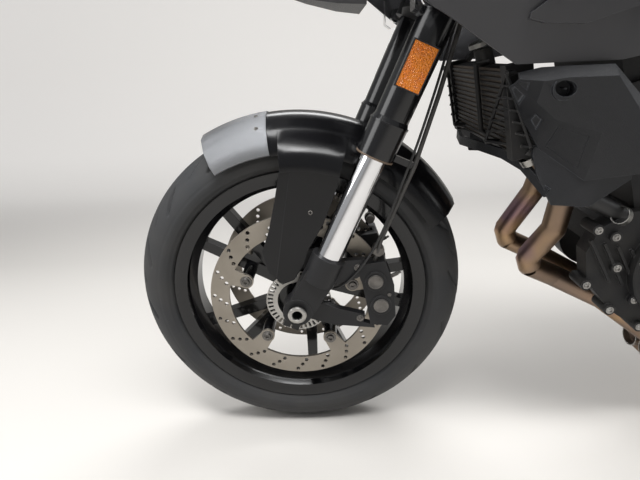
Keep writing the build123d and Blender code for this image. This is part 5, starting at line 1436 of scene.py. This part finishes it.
chain_steel = finish("oiled_chain_steel", (0.22, 0.20, 0.17), (0.11, 0.095, 0.08), 0.28, 0.46, 800, 0.2, 40,
                     metallic=1, edge=(0.45, 0.42, 0.38), edge_radius=0.0004)
gap_x, gap_z = -WHEELBASE - FRONT_SPROCKET_AT[0], REAR_Z - FRONT_SPROCKET_AT[1]
span, base = math.hypot(gap_x, gap_z), math.atan2(gap_z, gap_x)
tilt = math.acos((FRONT_PITCH_R - REAR_PITCH_R) / span)
straight = math.sqrt(span ** 2 - (REAR_PITCH_R - FRONT_PITCH_R) ** 2)
rear_arc = REAR_PITCH_R * 2 * tilt
chain_length = FRONT_PITCH_R * (2 * math.pi - 2 * tilt) + rear_arc + 2 * straight


def chain_point(at):
    """The (x, z) point so far along the pitch line, from where the upper run leaves the front sprocket."""
    at %= chain_length
    centre, radius, turn, along = FRONT_SPROCKET_AT, FRONT_PITCH_R, base + tilt, (at, base + tilt)
    if straight <= at < straight + rear_arc:
        turn, along = base + tilt - (at - straight) / REAR_PITCH_R, (0, 0)
    elif straight + rear_arc <= at < 2 * straight + rear_arc:
        turn, along = base - tilt, (at - straight - rear_arc, base - tilt)
    elif at >= 2 * straight + rear_arc:
        turn, along = base - tilt - (at - 2 * straight - rear_arc) / FRONT_PITCH_R, (0, 0)
    if straight <= at < 2 * straight + rear_arc:
        centre, radius = (-WHEELBASE, REAR_Z), REAR_PITCH_R
    return (centre[0] + radius * math.cos(turn) + along[0] * math.sin(along[1]),
            centre[1] + radius * math.sin(turn) - along[0] * math.cos(along[1]))


def link_plate(pitch, y_low, y_high, end_r=7.0, waist=4.6):
    """A link's plate: round ends about its two pins and a waist between them."""
    outline = []
    for centre, start in ((pitch / 2, -1), (-pitch / 2, 1)):
        for step in range(9):
            a = math.radians(-90 + 22.5 * step) + (0 if start < 0 else math.pi)
            outline.append((centre + end_r * math.cos(a), end_r * math.sin(a)))
        outline.append((0, waist if start < 0 else -waist))
    return plate(outline, y_low, y_high)


def link(name, pitch, inner, outer, half, radius, sides):
    """A chain link: two plates between inner and outer either side, and two pins or rollers across them."""
    plates = [link_plate(pitch, *reach) for reach in ((inner, outer), (-outer, -inner))]
    return merged(name, *plates, *(bar_across(radius, -half, half, x, 0, sides)
                                   for x in (pitch / 2, -pitch / 2)))


link_tree, link_in, link_out = geometry_tree("links_on_points", [("Pattern", "Object")])
pattern_of = new_node(link_tree, "GeometryNodeObjectInfo", {"Object": link_in.outputs["Pattern"]})
feed(link_tree, link_out.inputs["Geometry"], set_on_points(
    link_tree, link_in.outputs["Geometry"], pattern_of.outputs["Geometry"], axis="X", pivot_axis="Y"))

chain_pitch = chain_length / CHAIN_LINKS
pins = [chain_point(straight + rear_arc / 2 + chain_pitch * index) for index in range(CHAIN_LINKS)]
outer_link = link("outer", chain_pitch, 5.4, 7.2, 8.4, 2.6, 10)
inner_link = link("inner", chain_pitch, 3.6, 5.3, 3.6, 4.2, 14)
chain_meshes = []
for first, pattern_mesh in ((0, outer_link), (1, inner_link)):
    pattern = bpy.data.objects.new("link_pattern", pattern_mesh)
    places, facings = [], []
    for index in range(first, CHAIN_LINKS, 2):
        (ax, az), (bx, bz) = pins[index], pins[(index + 1) % CHAIN_LINKS]
        places.append(((ax + bx) / 2, CHAIN_Y, (az + bz) / 2))
        facings.append((bx - ax, 0, bz - az))
    chain_meshes.append(grown(link_tree, places, facings, {"Pattern": pattern}))
    bpy.data.objects.remove(pattern)


def toothed(centre, root_r, tip_r, bore_r, teeth, phase, half_t):
    """A ring with sprocket teeth, a tooth's middle at the angle phase in radians."""
    shares = (1, 0.95, 0.45, 0, 0, 0, 0.45, 0.95)
    rows = []
    for step in range(teeth * len(shares)):
        a = phase + 2 * math.pi * step / (teeth * len(shares))
        r = root_r + (tip_r - root_r) * shares[step % len(shares)]
        rows += [(centre[0] + radius * math.cos(a), CHAIN_Y + y, centre[1] + radius * math.sin(a))
                 for radius, y in ((bore_r, -half_t), (r, -half_t), (r, half_t), (bore_r, half_t))]
    return mesh_from("teeth", rows, turned_faces(teeth * len(shares), 4))


front_x, front_z = FRONT_SPROCKET_AT
front_pins = [math.atan2(z - front_z, x - front_x) for x, z in pins
              if math.hypot(x - front_x, z - front_z) < FRONT_PITCH_R + 1 and x > front_x]
front_phase = min(front_pins, key=abs) + math.pi / 18
hub = bar_across(16, CHAIN_Y - 14, CHAIN_Y + 10, front_x, front_z, 28)
chain_meshes += [toothed(FRONT_SPROCKET_AT, 42.8, 51, 12, 18, front_phase, 3.3), hub]
add_piece("linked_drive_chain", chain_meshes, chain_steel, "frame", 30, ["drive_chain"])
first_x, first_z = pins[0]
rear_phase = math.atan2(first_z - REAR_Z, first_x + WHEELBASE) + math.pi / REAR_TEETH
add_piece("rear_sprocket_teeth", toothed((-WHEELBASE, REAR_Z), 110.0, 118.0, 100, REAR_TEETH, rear_phase,
                                         3.4), chain_steel, "rear_wheel")
holes = [bar_across(9, 95, 115, -WHEELBASE + x, REAR_Z + z, 24) for x, z in on_circle(88.5, 10)]
add_piece("lightened_rear_sprocket", cut(closed_copy("rear_sprocket"), merged("holes", *holes)), chain_steel,
          "rear_wheel", 30, ["rear_sprocket"])

# The rear shock absorber: a damper in a coil spring between a screwed preload collar and its lower seat.
SHOCK_TOP, SHOCK_FOOT = Vector((-862, 0, 636)), Vector((-1068, 0, 444))
COIL_R, WIRE_R, COIL_TURNS = 25.5, 5.5, 7

spring_steel = finish("spring_paint", (0.10, 0.10, 0.105), (0.08, 0.08, 0.084), 0.25, 0.35, 900, 0.1, 9,
                      edge=(0.2, 0.2, 0.2), coat_weight=0.3)
shock_along = (SHOCK_FOOT - SHOCK_TOP).normalized()
shock_side = shock_along.orthogonal().normalized()
shock_rise = shock_along.cross(shock_side)
damper = spindle([(26, 18), (26, 56), (30.5, 56), (30.5, 62), (17, 62), (17, 150), (9, 152), (9, 232),
                  (31, 235.6), (31, 247.6), (17, 250), (17, 281)], SHOCK_TOP, SHOCK_FOOT, 36)
add_piece("shock_damper", damper, satin_black, "frame", 35, ["rear_shock"])
coil = []
for step in range(COIL_TURNS * 12 + 1):
    a = 2 * math.pi * step / 12
    coil.append(SHOCK_TOP + shock_along * (68 + 162 * step / (COIL_TURNS * 12))
                + (shock_side * math.cos(a) + shock_rise * math.sin(a)) * COIL_R)
add_piece("shock_spring", tube(coil, WIRE_R, 12, 3), spring_steel, "frame", 60)

# Footrests and pedals carry ribbed rubber sleeves where a boot rests on them.
sleeves = []
for side in (1, -1):
    sleeves.append(ribbed((-906, side * 160, 323.6), (-906, side * 228, 329.6), 11.1, 13.5, 10))
    sleeves.append(ribbed((-1180, side * 134, 499.3), (-1180, side * 201, 505.6), 10.1, 12.5, 10))
    sleeves.append(ribbed((-752, side * 182, 330), (-752, side * 212, 330), 8.1, 10.5, 4))
add_piece("footrest_sleeves", sleeves, grip_rubber, "frame", 35)
